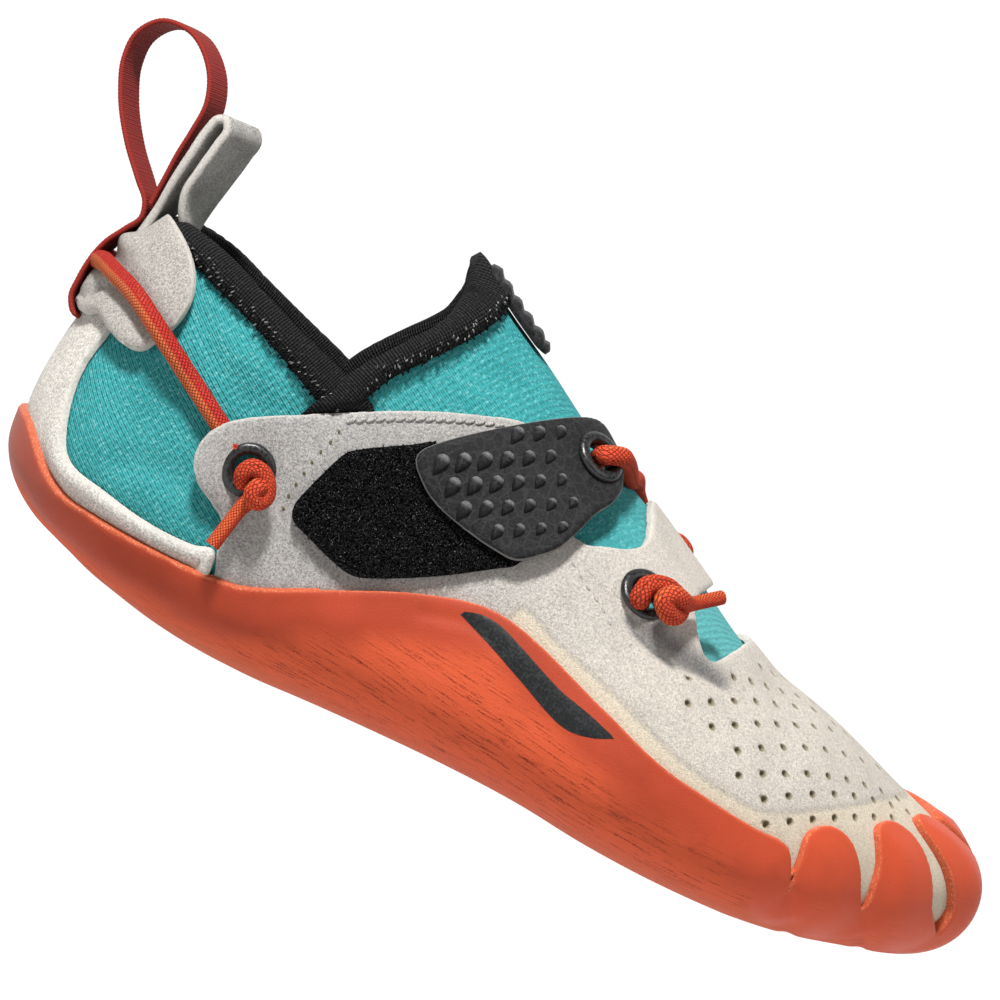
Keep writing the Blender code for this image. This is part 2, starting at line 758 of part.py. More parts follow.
def build_eyelets():
    """Five rounded rings, each on its layer."""
    black = material("black enamel", (0.012, 0.012, 0.013), 0.35)
    ring = (EYELET_RADIUS - EYELET_HOLE) / 2
    for spot in EYELETS:
        lift = spot.seat + GAP + CURVE_ROOM + EYELET_HEIGHT / 2
        point, normal = place(spot.x, spot.height, spot.side, lift)
        bpy.ops.mesh.primitive_torus_add(
            major_radius=(EYELET_HOLE + ring) * MM,
            minor_radius=ring * MM,
            major_segments=12,
            minor_segments=5,
        )
        eyelet = bpy.context.object
        eyelet.name = spot.name
        for vert in eyelet.data.vertices:
            vert.co.z *= EYELET_HEIGHT / 2 / ring
        stand_on(eyelet, point, normal)
        finish_piece(move_to(eyelet, SHOE), black)


def tube(name, route, radii, finish):
    """A cord along a smooth curve through the route's points, its radii spread evenly over its length."""
    route = np.array(route)
    steps = np.linalg.norm(np.diff(route, axis=0), axis=1)
    run = np.concatenate([[0], np.cumsum(steps)])
    count = max(2 * len(radii), int(run[-1] / TUBE_STEP))
    samples = np.linspace(0, run[-1], count + 1)
    curve = bpy.data.curves.new(name, "CURVE")
    curve.dimensions = "3D"
    curve.bevel_depth = MM
    curve.bevel_resolution = 2
    curve.use_fill_caps = True
    line = curve.splines.new("POLY")
    line.points.add(count)
    for knot, sample in zip(line.points, samples):
        knot.co = (*to_world(spline(run, route, sample)), 1)
        knot.radius = float(np.interp(sample / run[-1], np.linspace(0, 1, len(radii)), radii))
    cord = bpy.data.objects.new(name, curve)
    SHOE.objects.link(cord)
    curve.materials.append(finish)


HEEL_CORD_END = 30.4  # where the heel cord stops, clear of the suede quarters
HEEL_CORD_HIGH = 55.3  # its height at the back of the heel
HEEL_CORD_FALL = 0.575  # how much it drops for each millimetre towards the toe


def heel_cord_route():
    """Points of the cord round the heel: over the saddle, then down on the sock."""
    on_saddle = SADDLE_OUTER + GAP + CORD_RADIUS
    on_sock = GAP + CORD_RADIUS
    start, end = run_at(HEEL_CORD_END, -1), run_at(HEEL_CORD_END, 1) - OUTLINE_LENGTH
    route = []
    for run in np.linspace(start, end, 25):
        x = edge_at(run)[0]
        lift = np.interp(x, [18.0, 25.0], [on_saddle, on_sock])
        route.append(at_height(run, HEEL_CORD_HIGH - HEEL_CORD_FALL * x, lift)[0])
    return route


# The cord over the instep: x, section angle on the outer (-1) or inner (+1) side, and distance
INSTEP_CORD = [
    (94.6, 62.0, -1, 10.2),
    (98.0, 70.0, -1, 10.4),
    (101.6, 80.0, -1, 8.4),
    (103.2, 88.0, 1, 4.6),
    (105.0, 78.0, 1, 3.2),
    (108.6, 71.0, 1, 4.4),
    (112.4, 67.0, 1, 5.4),
]


def build_cords():
    """Cord round the heel, cord over the instep, and the knots with their tails."""
    orange = material("orange cord", (0.80, 0.12, 0.03), 0.8)
    tube("heel_cord", heel_cord_route(), [CORD_RADIUS], orange)
    route = []
    for x, angle, side, distance in INSTEP_CORD:
        point, normal = surface_frame(run_at(x, side), angle)
        route.append(point + normal * distance)
    tube("instep_cord", route, [CORD_RADIUS], orange)
    knot = [0.5, 0.85 * KNOT_RADIUS, KNOT_RADIUS, 0.8 * KNOT_RADIUS, TAIL_RADIUS, TAIL_RADIUS, TAIL_RADIUS]
    for end in CORD_ENDS:
        route = [place(x, height, end.side, end.distance)[0] for x, height in end.route]
        tube(end.name, route, knot, orange)


# Knots with their tails, seen from the side
KNOT_SEAT = SUEDE_OUTER + GAP + CURVE_ROOM + EYELET_HEIGHT + GAP + KNOT_RADIUS
CordEnd = namedtuple("CordEnd", "name side distance route")
HEEL_END = [(41.6, 35.0), (42.2, 31.5), (42.6, 28.5), (42.4, 23.0), (41.6, 17.0)]
VAMP_END = [(111.0, 42.2), (114.2, 43.4), (117.2, 44.4), (121.0, 46.2), (125.0, 48.4)]
CORD_ENDS = [
    CordEnd("cord_end_heel_outer", -1, KNOT_SEAT, HEEL_END),
    CordEnd("cord_end_heel_inner", 1, KNOT_SEAT, HEEL_END),
    CordEnd("cord_end_vamp_outer", -1, KNOT_SEAT, VAMP_END),
]


# Pull tab and webbing loop stand up at the heel, turned about a vertical line through PULL_X
PULL_X = 6.0
PULL_TURN = math.radians(25)
TAB_HALF = 8.0
TAB_SUEDE = 1.5
TAB_SLIT = 0.6
TAB_FOOT = 60.2
TAB_FRONT_FOOT = 66.8
TAB_TOP = 85.0
TAB_FOOT_X = 6.2
TAB_TOP_X = 9.4
TAB_TWIST = 10.0  # height over which the tab turns from lying on the heel to its full turn
WEBBING_HALF = 5.0
WEBBING_THICK = 0.9


def turned(x, across, height, turn):
    """A point at x on the middle line and a distance across, turned about the vertical line at PULL_X."""
    ahead = (x - PULL_X) / math.cos(turn)
    return np.array(
        [
            PULL_X + ahead * math.cos(turn) + across * math.sin(turn),
            -ahead * math.sin(turn) + across * math.cos(turn),
            height,
        ]
    )


def tab_turn(height):
    """How far the tab is turned at a height."""
    share = min(max((height - TAB_FOOT) / TAB_TWIST, 0), 1)
    return PULL_TURN * share * share * (3 - 2 * share)


def tab_profile():
    """Outline of the folded tab, as x on the middle line and height, round the fold and the slit."""
    thick = (2 * TAB_SUEDE + TAB_SLIT) / 2
    slope = (TAB_TOP_X - TAB_FOOT_X) / (TAB_TOP - TAB_FOOT)
    heights = np.linspace(TAB_FOOT, TAB_TOP - thick, 8)
    rear = [(TAB_FOOT_X + slope * (height - TAB_FOOT), height) for height in heights]
    top_x = rear[-1][0]
    fold = []
    for step in range(1, 8):
        angle = math.pi * step / 8
        fold.append((top_x + thick - thick * math.cos(angle), TAB_TOP - thick + thick * math.sin(angle)))
    front = [(x + 2 * thick, height) for x, height in rear[::-1] if height > TAB_FRONT_FOOT]
    front.append((TAB_FOOT_X + slope * (TAB_FRONT_FOOT - TAB_FOOT) + 2 * thick, TAB_FRONT_FOOT))
    slit = [(x - TAB_SUEDE, height) for x, height in front[::-1]]
    back = [(x + TAB_SUEDE, height) for x, height in rear[::-1]]
    return rear + fold + front + slit + back


def build_pull_tab():
    """The folded suede tab: its outline, extruded across and turned."""
    profile = tab_profile()
    count = len(profile)
    points = [turned(x, -TAB_HALF, height, tab_turn(height)) for x, height in profile]
    points += [turned(x, TAB_HALF, height, tab_turn(height)) for x, height in profile]
    faces = [(i, (i + 1) % count, count + (i + 1) % count, count + i) for i in range(count)]
    faces += [list(range(count)), list(range(count, 2 * count))]
    tab = make_object("pull_tab", points, faces, SHOE)
    finish_piece(tab, material("pale suede of tab", (0.45, 0.43, 0.39), 0.95))


# The webbing: x on its middle line, height, and how far it is turned of the full turn
WEBBING = [
    (-1.0, 44.6, 0.0),
    (-1.9, 49.5, 0.0),
    (-2.0, 54.4, 0.0),
    (0.4, 58.4, 0.2),
    (3.0, 61.0, 0.5),
    (3.8, 63.4, 0.9),
    (2.8, 66.4, 1.0),
    (-2.8, 71.6, 1.0),
    (-9.0, 78.0, 1.0),
    (-11.9, 84.0, 1.0),
    (-11.8, 89.4, 1.0),
    (-9.0, 94.0, 1.0),
    (-4.4, 95.2, 1.0),
    (1.2, 92.4, 1.0),
    (4.8, 88.0, 1.0),
    (6.2, 83.0, 1.0),
    (6.2, 76.4, 1.0),
    (5.8, 70.6, 1.0),
    (5.3, 65.6, 1.0),
]
WEBBING_STEPS = 3


def build_webbing():
    """The webbing loop: a ribbon along its middle line, given its thickness."""
    rows = np.array(WEBBING)
    places = np.arange(len(rows))
    points = []
    for at in np.linspace(0, places[-1], places[-1] * WEBBING_STEPS + 1):
        x, height, turn = spline(places, rows, at)
        for across in (-WEBBING_HALF, WEBBING_HALF):
            points.append(turned(x, across, height, turn * PULL_TURN))
    faces = [(2 * i, 2 * i + 1, 2 * i + 3, 2 * i + 2) for i in range(len(points) // 2 - 1)]
    ribbon = make_object("webbing_loop", points, faces, SHOE)
    thick = ribbon.modifiers.new("thickness", "SOLIDIFY")
    thick.thickness = WEBBING_THICK * MM
    thick.offset = 0
    finish_piece(ribbon, material("red webbing", (0.42, 0.03, 0.03), 0.7))


INSOLE_ROWS = 4  # rows of the last's underside that the insole covers


def build_insole():
    """A thin dished board that lies on the sock's underside."""
    runs = perimeter(HEEL_STEPS, SIDE_STEPS, TOE_STEPS)
    rows = INSOLE_ROWS
    points = []
    for run in runs:
        edge = [section_point(run, angle) for angle in LAST_ANGLES[:rows]]
        for distance in (INSOLE_UNDER, INSOLE_TOP):
            points += [point + last_normal(point) * distance for point in edge]
    ring = list(range(rows)) + list(range(2 * rows - 1, rows - 1, -1))
    faces = []
    for i in range(len(runs)):
        here, there = 2 * rows * i, 2 * rows * ((i + 1) % len(runs))
        for first, second in zip(ring, ring[1:]):
            faces.append((here + first, there + first, there + second, here + second))
    board = make_object("insole", points, faces, SHOE)
    mesh = bmesh.new()
    mesh.from_mesh(board.data)
    bmesh.ops.remove_doubles(mesh, verts=mesh.verts, dist=WELD * MM)
    bmesh.ops.recalc_face_normals(mesh, faces=mesh.faces)
    mesh.to_mesh(board.data)
    mesh.free()
    return finish_piece(board, material("insole board", (0.30, 0.29, 0.28), 0.9))


for leftover in list(bpy.data.objects):
    bpy.data.objects.remove(leftover)
SHOE = bpy.data.collections.new("climbing shoe")
CUTTERS = bpy.data.collections.new("cutters")
bpy.context.scene.collection.children.link(SHOE)
bpy.context.scene.collection.children.link(CUTTERS)
LAST = last_surface()

build_outsole()
build_sock()
build_insole()
build_binding()
build_suede()
build_closure()
build_eyelets()
build_cords()
build_pull_tab()
build_webbing()
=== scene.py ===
"""Looks of the child's climbing shoe for the right foot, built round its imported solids.

The last, which is the solid shape of the foot, is nearly the same function as in the part's source,
read on a fine grid. Each panel is the piece of that grid inside an outline, raised to its layer and
given its thickness. Lengths are millimetres until a mesh is made. x runs from the back of the heel to
the toe, y to the inner side. Outlines are given as the shoe is seen from its outer side: x along it
and height. The inner side mirrors them.
"""

import math
from collections import namedtuple

import bmesh
import bpy
import numpy as np
from mathutils import Matrix, Vector
from mathutils.kdtree import KDTree

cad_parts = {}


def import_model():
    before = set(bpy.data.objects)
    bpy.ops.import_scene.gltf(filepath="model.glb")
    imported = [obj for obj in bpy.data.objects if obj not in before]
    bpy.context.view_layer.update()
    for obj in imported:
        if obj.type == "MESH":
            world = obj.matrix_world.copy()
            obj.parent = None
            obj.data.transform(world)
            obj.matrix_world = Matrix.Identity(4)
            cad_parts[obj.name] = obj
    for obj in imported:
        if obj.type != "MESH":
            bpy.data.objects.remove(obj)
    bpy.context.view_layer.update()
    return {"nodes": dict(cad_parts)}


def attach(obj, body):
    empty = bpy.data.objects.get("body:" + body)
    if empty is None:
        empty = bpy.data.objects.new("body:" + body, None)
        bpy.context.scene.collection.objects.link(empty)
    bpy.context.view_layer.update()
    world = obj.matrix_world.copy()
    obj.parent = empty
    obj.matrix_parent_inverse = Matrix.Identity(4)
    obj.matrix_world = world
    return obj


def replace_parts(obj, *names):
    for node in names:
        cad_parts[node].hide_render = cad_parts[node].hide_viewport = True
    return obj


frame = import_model()
RANDOM = np.random.default_rng(11)
MM = 0.001
HEEL_REST_X = 52.0  # the row's origin, from the back of the heel

# Layers, as distances from the surface of the last
SOCK_INNER = -1.6
SUEDE_INNER, SUEDE_OUTER = 0.3, 1.7
RUBBER_LINING, RUBBER_SIDE, RUBBER_TREAD = 1.6, 3.8, 5.2
SADDLE_INNER, SADDLE_OUTER = 2.0, 3.5
PATCH_INNER, PATCH_OUTER = 2.0, 3.6
STRAP_INNER, STRAP_OUTER = 3.9, 5.9
STRAP_SEAT = STRAP_OUTER - 0.35  # the strap tab's surface between its studs
TONGUE_PATCH_INNER, TONGUE_PATCH_OUTER = 1.0, 2.3
CORD_RADIUS = 1.75
BRAID_STRANDS, BRAID_RATE = 13, 8.5  # strands each way round, and their phase for each millimetre
TAIL_RADIUS = 1.3

# The view: the shoe's outer side, the camera a little above and behind, rolled so that the toe points down
VIEW_TURN = math.radians(3.0)
VIEW_RISE = math.radians(4.0)
VIEW_ROLL = math.radians(27.2)
VIEW_DISTANCE = 1100.0
VIEW_WIDTH = 176.0
VIEW_CENTRE = np.array([82.8, 0.0, 46.9])
SEEN_CENTRE = np.array([82.8, 47.1])  # where outlines say the centre is
VIEW_RIGHT = np.array([math.cos(VIEW_TURN), -math.sin(VIEW_TURN), 0])
VIEW_AHEAD = np.array(
    [
        math.sin(VIEW_TURN) * math.cos(VIEW_RISE),
        math.cos(VIEW_TURN) * math.cos(VIEW_RISE),
        -math.sin(VIEW_RISE),
    ]
)
VIEW_UP = np.cross(VIEW_RIGHT, VIEW_AHEAD)
PICTURE_RIGHT = math.cos(VIEW_ROLL) * VIEW_RIGHT + math.sin(VIEW_ROLL) * VIEW_UP
PICTURE_UP = math.cos(VIEW_ROLL) * VIEW_UP - math.sin(VIEW_ROLL) * VIEW_RIGHT

# The spine and the outline of the last, as in the part's source
Spine = namedtuple("Spine", "x y bottom ridge")
SPINE = [
    Spine(28.0, 0.0, 7.6, 82.0),
    Spine(38.0, 0.0, 5.7, 89.5),
    Spine(48.0, 0.0, 4.8, 92.0),
    Spine(58.0, 0.0, 4.8, 84.6),
    Spine(66.0, 0.2, 5.3, 79.2),
    Spine(80.0, 0.8, 6.0, 71.6),
    Spine(95.0, 1.8, 6.5, 63.0),
    Spine(110.0, 3.2, 6.3, 55.8),
    Spine(122.0, 4.4, 5.3, 49.4),
    Spine(134.0, 5.4, 4.8, 43.0),
    Spine(142.0, 5.8, 4.8, 39.9),
    Spine(150.0, 6.0, 5.0, 37.9),
]
HEEL_AXIS = SPINE[0].x
TOE_AXIS = SPINE[-1].x
Edge = namedtuple("Edge", "place x y height low_square high_square")
OUTLINE = [
    Edge("heel back", 2.6, 0.0, 30.0, 2.5, 1.75),
    Edge("heel outer", 11.5, -18.0, 27.0, 2.5, 1.95),
    Edge("heel side outer", 28.0, -23.8, 24.0, 2.5, 2.3),
    Edge("ankle outer", 50.0, -25.2, 21.5, 2.5, 2.2),
    Edge("waist outer", 75.0, -27.4, 20.0, 2.4, 2.1),
    Edge("joint outer", 100.0, -31.6, 18.0, 2.4, 2.0),
    Edge("ball outer", 125.0, -33.8, 16.0, 2.5, 2.0),
    Edge("small toe root", 145.0, -29.8, 15.0, 2.4, 2.0),
    Edge("small toe", 160.0, -21.4, 15.5, 2.3, 2.0),
    Edge("middle toe", 173.0, -9.2, 16.8, 2.2, 2.0),
    Edge("second toe", 182.0, 3.2, 18.2, 2.1, 2.0),
    Edge("toe tip", 186.2, 13.5, 19.0, 2.1, 2.0),
    Edge("big toe", 184.4, 22.0, 19.0, 2.1, 2.0),
    Edge("big toe side", 175.0, 29.4, 18.2, 2.2, 2.1),
    Edge("big toe root", 160.0, 33.4, 17.2, 2.3, 2.1),
    Edge("ball inner", 140.0, 34.2, 16.5, 2.4, 2.1),
    Edge("joint inner", 120.0, 30.4, 17.5, 2.3, 2.0),
    Edge("arch inner", 100.0, 25.6, 19.5, 2.0, 2.0),
    Edge("waist inner", 78.0, 23.2, 21.5, 1.9, 2.1),
    Edge("ankle inner", 52.0, 23.6, 22.5, 2.2, 2.2),
    Edge("heel side inner", 28.0, 23.4, 24.0, 2.5, 2.3),
    Edge("heel inner", 11.5, 17.8, 27.0, 2.5, 1.95),
]
HEEL_STEPS, SIDE_STEPS, TOE_STEPS = 96, 170, 150
LOW_STEPS, HIGH_STEPS = 44, 104
TOE_REACH, TOE_REACH_FROM, TOE_REACH_TO = 2.8, 166.0, 187.0  # the toe cap swells forward
JOIN_STEPS = 50  # points of both sides become one where they agree to such a part of a millimetre
LOWEST_ANGLE = -60  # section angle below which no place is looked for
NEAR_POINTS = 12  # points of the grid that a place is fitted to
CUT_MARGIN = 0.05  # least distance of the grid's points from a cut
LEAST_THICK = 0.4  # least thickness of a panel that lies on the floor
OUTSIDE = -30.0  # value of a field well outside its outline


def step_up(value, low, high):
    """Goes smoothly from 0 at low to 1 at high."""
    t = np.clip((value - low) / (high - low), 0, 1)
    return t * t * (3 - 2 * t)


def spline(knots, values, at):
    """Reads a smooth curve through values at the knots, at one place or many."""
    knots = np.asarray(knots, float)
    values = np.asarray(values, float).reshape(len(knots), -1)
    at = np.atleast_1d(np.asarray(at, float))
    slopes = np.gradient(values, knots, axis=0)
    i = np.clip(np.searchsorted(knots, at) - 1, 0, len(knots) - 2)
    width = (knots[i + 1] - knots[i])[:, None]
    t = (np.clip(at, knots[0], knots[-1]) - knots[i])[:, None] / width
    start = (1 + 2 * t) * (1 - t) ** 2 * values[i] + t * (1 - t) ** 2 * width * slopes[i]
    end = t * t * (3 - 2 * t) * values[i + 1] - t * t * (1 - t) * width * slopes[i + 1]
    return start + end


def spine_at(x):
    """Place seen from above, underside and ridge of the spine at each x."""
    return spline([row.x for row in SPINE], [row[1:] for row in SPINE], x)


def outline_knots():
    """The closed outline with three rows repeated past each end, and its running length."""
    rows = OUTLINE[-3:] + OUTLINE + OUTLINE[:4]
    values = np.array([row[1:] for row in rows])
    steps = np.hypot(*np.diff(values[:, :2], axis=0).T)
    run = np.concatenate([[0], np.cumsum(steps)])
    return run - run[3], values


RUN_KNOTS, EDGE_VALUES = outline_knots()
OUTLINE_LENGTH = RUN_KNOTS[-4]
RUNS = np.linspace(0, OUTLINE_LENGTH, 2400)
RUN_X = spline(RUN_KNOTS, EDGE_VALUES, RUNS % OUTLINE_LENGTH)[:, 0]
TOE_TIP = int(RUN_X.argmax())


def run_at(x, side):
    """Running length at which the outer (-1) or inner (+1) side of the outline passes x."""
    if side < 0:
        return float(np.interp(x, RUN_X[:TOE_TIP], RUNS[:TOE_TIP]))
    return float(np.interp(-x, -RUN_X[TOE_TIP:], RUNS[TOE_TIP:]))


def end_slopes(base_x, angles):
    """Slopes with which the spine runs on past the heel axis or the toe axis."""
    step = 0.5
    toe = (spine_at(TOE_AXIS)[0] - spine_at(TOE_AXIS - step)[0]) / step
    heel = (spine_at(HEEL_AXIS + step)[0] - spine_at(HEEL_AXIS)[0]) / step
    low = angles < 0
    at_toe = np.where(low, toe[1], toe[2])
    at_heel = np.where(low, heel[1], 0.0)
    return np.where(base_x >= TOE_AXIS, at_toe, np.where(base_x <= HEEL_AXIS, at_heel, 0.0))


def last_points(runs, angles):
    """Points of the last, one for each running length and section angle (-90 below, 90 the ridge)."""
    x, y, height, low_square, high_square = spline(RUN_KNOTS, EDGE_VALUES, runs % OUTLINE_LENGTH).T
    base_x = np.clip(x, HEEL_AXIS, TOE_AXIS)
    base_y, bottom, ridge = spine_at(base_x).T
    low = angles < 0
    square = np.where(low, low_square, high_square)
    across = np.abs(np.cos(np.radians(angles)))
    rise = np.abs(np.sin(np.radians(angles)))
    reach = (across**square + rise**square) ** (-1 / square)
    across = across * reach
    rise = rise * reach
    limit = np.where(low, bottom, ridge)
    point_x = base_x + (x - base_x) * across
    point_y = base_y + (y - base_y) * across
    lean = (point_x - base_x) * (1 - across**2)
    point_z = height + (limit - height) * rise + lean * end_slopes(base_x, angles)
    point_x = point_x + TOE_REACH * step_up(point_x, TOE_REACH_FROM, TOE_REACH_TO)
    return np.stack([point_x, point_y, point_z], axis=-1)


# The grid: columns run round the shoe, rows from under the spine up to the ridge
STATIONS = np.linspace(HEEL_AXIS, TOE_AXIS, SIDE_STEPS + 1)
OUTER_RUNS = [run_at(x, -1) for x in STATIONS]
INNER_RUNS = [run_at(x, 1) for x in STATIONS]
COLUMN_RUNS = np.array(
    list(np.linspace(INNER_RUNS[0] - OUTLINE_LENGTH, OUTER_RUNS[0], HEEL_STEPS + 1)[:-1])
    + OUTER_RUNS[:-1]
    + list(np.linspace(OUTER_RUNS[-1], INNER_RUNS[-1], TOE_STEPS + 1)[:-1])
    + INNER_RUNS[:0:-1]
)
ROW_ANGLES = np.concatenate([np.linspace(-90, 0, LOW_STEPS + 1), np.linspace(0, 90, HIGH_STEPS + 1)[1:]])
COLUMNS, ROWS = len(COLUMN_RUNS), len(ROW_ANGLES)


def faces_of(number):
    """Four-cornered faces of a closed sheet of numbered points."""
    after = np.roll(number, -1, axis=0)
    return np.stack([number[:, :-1], after[:, :-1], after[:, 1:], number[:, 1:]], axis=-1).reshape(-1, 4)


def make_grid():
    """Points, normals, running lengths, heights along the section, angles, and fine and coarse faces."""
    runs = np.repeat(COLUMN_RUNS, ROWS)
    angles = np.tile(ROW_ANGLES, COLUMNS)
    points = last_points(runs, angles)
    shaped = points.reshape(COLUMNS, ROWS, 3)
    steps = np.linalg.norm(np.diff(shaped, axis=1), axis=2)
    climb = np.concatenate([np.zeros((COLUMNS, 1)), np.cumsum(steps, axis=1)], axis=1)
    climb = (climb - climb[:, LOW_STEPS : LOW_STEPS + 1]).ravel()
    number = np.arange(COLUMNS * ROWS).reshape(COLUMNS, ROWS)
    for row in (0, ROWS - 1):  # both sides share their points on the ridge and under the spine
        rounded = np.round(shaped[:, row] * JOIN_STEPS).astype(int)
        _, first, back = np.unique(rounded, axis=0, return_index=True, return_inverse=True)
        number[:, row] = number[first[back.ravel()], row]
    quads, coarse = faces_of(number), faces_of(number[::2, ::2])
    corners = points[quads]
    faces_normal = np.cross(corners[:, 2] - corners[:, 0], corners[:, 3] - corners[:, 1])
    normals = np.zeros_like(points)
    for corner in range(4):
        np.add.at(normals, quads[:, corner], faces_normal)
    normals /= np.maximum(np.linalg.norm(normals, axis=1, keepdims=True), 1e-9)
    return points, normals, runs % OUTLINE_LENGTH, climb, angles, quads, coarse


POINTS, NORMALS, GRID_RUN, GRID_CLIMB, GRID_ANGLE, QUADS, COARSE_QUADS = make_grid()
SPINE_Y = spine_at(np.clip(POINTS[:, 0], HEEL_AXIS, TOE_AXIS))[:, 0]
ON_OUTER = POINTS[:, 1] <= SPINE_Y


def seen(points, mirror):
    """Where points are seen from the outer side: x and height. mirror has the y of their spine."""
    points = np.array(points, float)
    points[:, 1] = np.where(points[:, 1] > mirror, 2 * mirror - points[:, 1], points[:, 1])
    offset = points - VIEW_CENTRE
    scale = VIEW_DISTANCE / (VIEW_DISTANCE + offset @ VIEW_AHEAD)
    return SEEN_CENTRE + np.stack([offset @ VIEW_RIGHT * scale, offset @ VIEW_UP * scale], axis=-1)


SEEN_LAYERS = {}


def seen_at(distance):
    """Where the grid's points are seen when they are raised to a distance."""
    if distance not in SEEN_LAYERS:
        SEEN_LAYERS[distance] = seen(POINTS + NORMALS * distance, SPINE_Y)
    return SEEN_LAYERS[distance]


Spot = namedtuple("Spot", "point normal run climb")


def spot(x, height, distance=0.0, side=-1):
    """The place of a layer that is seen at x and height on the outer (-1) or inner (+1) side."""
    view = seen_at(distance)
    facing = (ON_OUTER if side < 0 else ~ON_OUTER) & (GRID_ANGLE > LOWEST_ANGLE)
    gap = np.hypot(view[:, 0] - x, view[:, 1] - height) + np.where(facing, 0, 1e6)
    nearest = np.argpartition(gap, NEAR_POINTS)[:NEAR_POINTS]
    weight = 1 / (gap[nearest] + 0.02) ** 2
    weight /= weight.sum()
    ones = np.column_stack([np.ones(NEAR_POINTS), view[nearest] - (x, height)])
    data = np.column_stack([POINTS, NORMALS, GRID_RUN, GRID_CLIMB])[nearest]
    root = weight[:, None] ** 0.5
    fit = np.linalg.lstsq(ones * root, data * root, rcond=None)[0][0]
    normal = fit[3:6] / np.linalg.norm(fit[3:6])
    return Spot(fit[:3] + normal * distance, normal, fit[6], fit[7])


def smooth_line(rows, closed=True, steps=6):
    """Points of a smooth line through rows of x and height. A row with "corner" is a sharp corner."""
    places = np.array([row[:2] for row in rows], float)
    count = len(rows)
    line = []
    for i in range(count if closed else count - 1):
        here, there = places[i], places[(i + 1) % count]
        chord = np.linalg.norm(there - here)
        tangents = []
        for k in (i, (i + 1) % count):
            ends = (k == 0 or k == count - 1) and not closed
            if len(rows[k]) > 2 or ends:
                tangents.append(there - here)
            else:
                along = places[(k + 1) % count] - places[k - 1]
                tangents.append(along / max(np.linalg.norm(along), 1e-9) * chord)
        for t in np.arange(steps) / steps:
            point = (1 + 2 * t) * (1 - t) ** 2 * here + t * (1 - t) ** 2 * tangents[0]
            point = point + t * t * (3 - 2 * t) * there - t * t * (1 - t) * tangents[1]
            line.append(point)
    if not closed:
        line.append(places[-1])
    return np.array(line)


def line_distance(points, line, closed):
    """Distance of 2-D points from a line."""
    best = np.full(len(points), 1e9)
    ends = np.roll(line, -1, axis=0) if closed else line[1:]
    for a, b in zip(line, ends):
        along = b - a
        t = np.clip((points - a) @ along / max(along @ along, 1e-12), 0, 1)
        away = points - a - t[:, None] * along
        best = np.minimum(best, (away**2).sum(axis=1))
    return np.sqrt(best)


def along_line(points, line):
    """How far along an open line the nearest place to each 2-D point is."""
    best = np.full(len(points), 1e9)
    along = np.zeros(len(points))
    run = 0.0
    for a, b in zip(line, line[1:]):
        length = max(np.linalg.norm(b - a), 1e-9)
        t = np.clip((points - a) @ (b - a) / length**2, 0, 1)
        gap = ((points - a - t[:, None] * (b - a)) ** 2).sum(axis=1)
        along = np.where(gap < best, run + t * length, along)
        best = np.minimum(gap, best)
        run += length
    return along


def inside(points, line):
    """Whether 2-D points lie inside a closed line."""
    odd = np.zeros(len(points), bool)
    for a, b in zip(line, np.roll(line, -1, axis=0)):
        if a[1] == b[1]:
            continue
        crosses = (a[1] > points[:, 1]) != (b[1] > points[:, 1])
        odd ^= crosses & (points[:, 0] < a[0] + (points[:, 1] - a[1]) * (b[0] - a[0]) / (b[1] - a[1]))
    return odd


def outline_field(points, line, reach=-OUTSIDE):
    """Signed distance from a closed line, positive inside. Points far outside get minus the reach."""
    field = np.full(len(points), -reach)
    near = np.all((points > line.min(axis=0) - reach) & (points < line.max(axis=0) + reach), axis=1)
    distance = line_distance(points[near], line, True)
    field[near] = np.where(inside(points[near], line), distance, -distance)
    return field


def hill(places, centre, along, across, turn=0.0):
    """A soft round hill of height 1 at a centre, with its two half widths and its turn in degrees."""
    c, s = math.cos(math.radians(turn)), math.sin(math.radians(turn))
    offset = places - np.array(centre)
    u = (offset[:, 0] * c + offset[:, 1] * s) / along
    v = (offset[:, 1] * c - offset[:, 0] * s) / across
    return np.exp(-(u * u + v * v))


def trough(places, rows, width):
    """1 on an open line through the rows, falling softly to 0 at about twice the width."""
    return np.exp(-((line_distance(places, smooth_line(rows, closed=False), False) / width) ** 2))


def relief(places, rows):
    """Sum of hills and troughs. A row has its height, then what its hill or trough is given."""
    total = np.zeros(len(places))
    for height, *shape in rows:
        total += height * (trough(places, *shape) if len(shape) == 2 else hill(places, *shape))
    return total


def world(points):
    """Millimetres from the back of the heel to metres from the row's origin."""
    return (np.asarray(points, float) - (HEEL_REST_X, 0, 0)) * MM


def new_piece(name, points, faces, look, values=None, sharp=50):
    """A shown mesh that rides on the shoe, with its finish and values for its points."""
    mesh = bpy.data.meshes.new(name)
    mesh.from_pydata(world(points).tolist(), [], faces)
    for key, value in (values or {}).items():
        stored = mesh.attributes.new(key, "FLOAT", "POINT")
        stored.data.foreach_set("value", np.asarray(value, np.float32))
    mesh.materials.append(look)
    mesh.shade_smooth()
    mesh.set_sharp_from_angle(angle=math.radians(sharp))
    piece = bpy.data.objects.new(name, mesh)
    bpy.context.scene.collection.objects.link(piece)
    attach(piece, "root")
    return piece


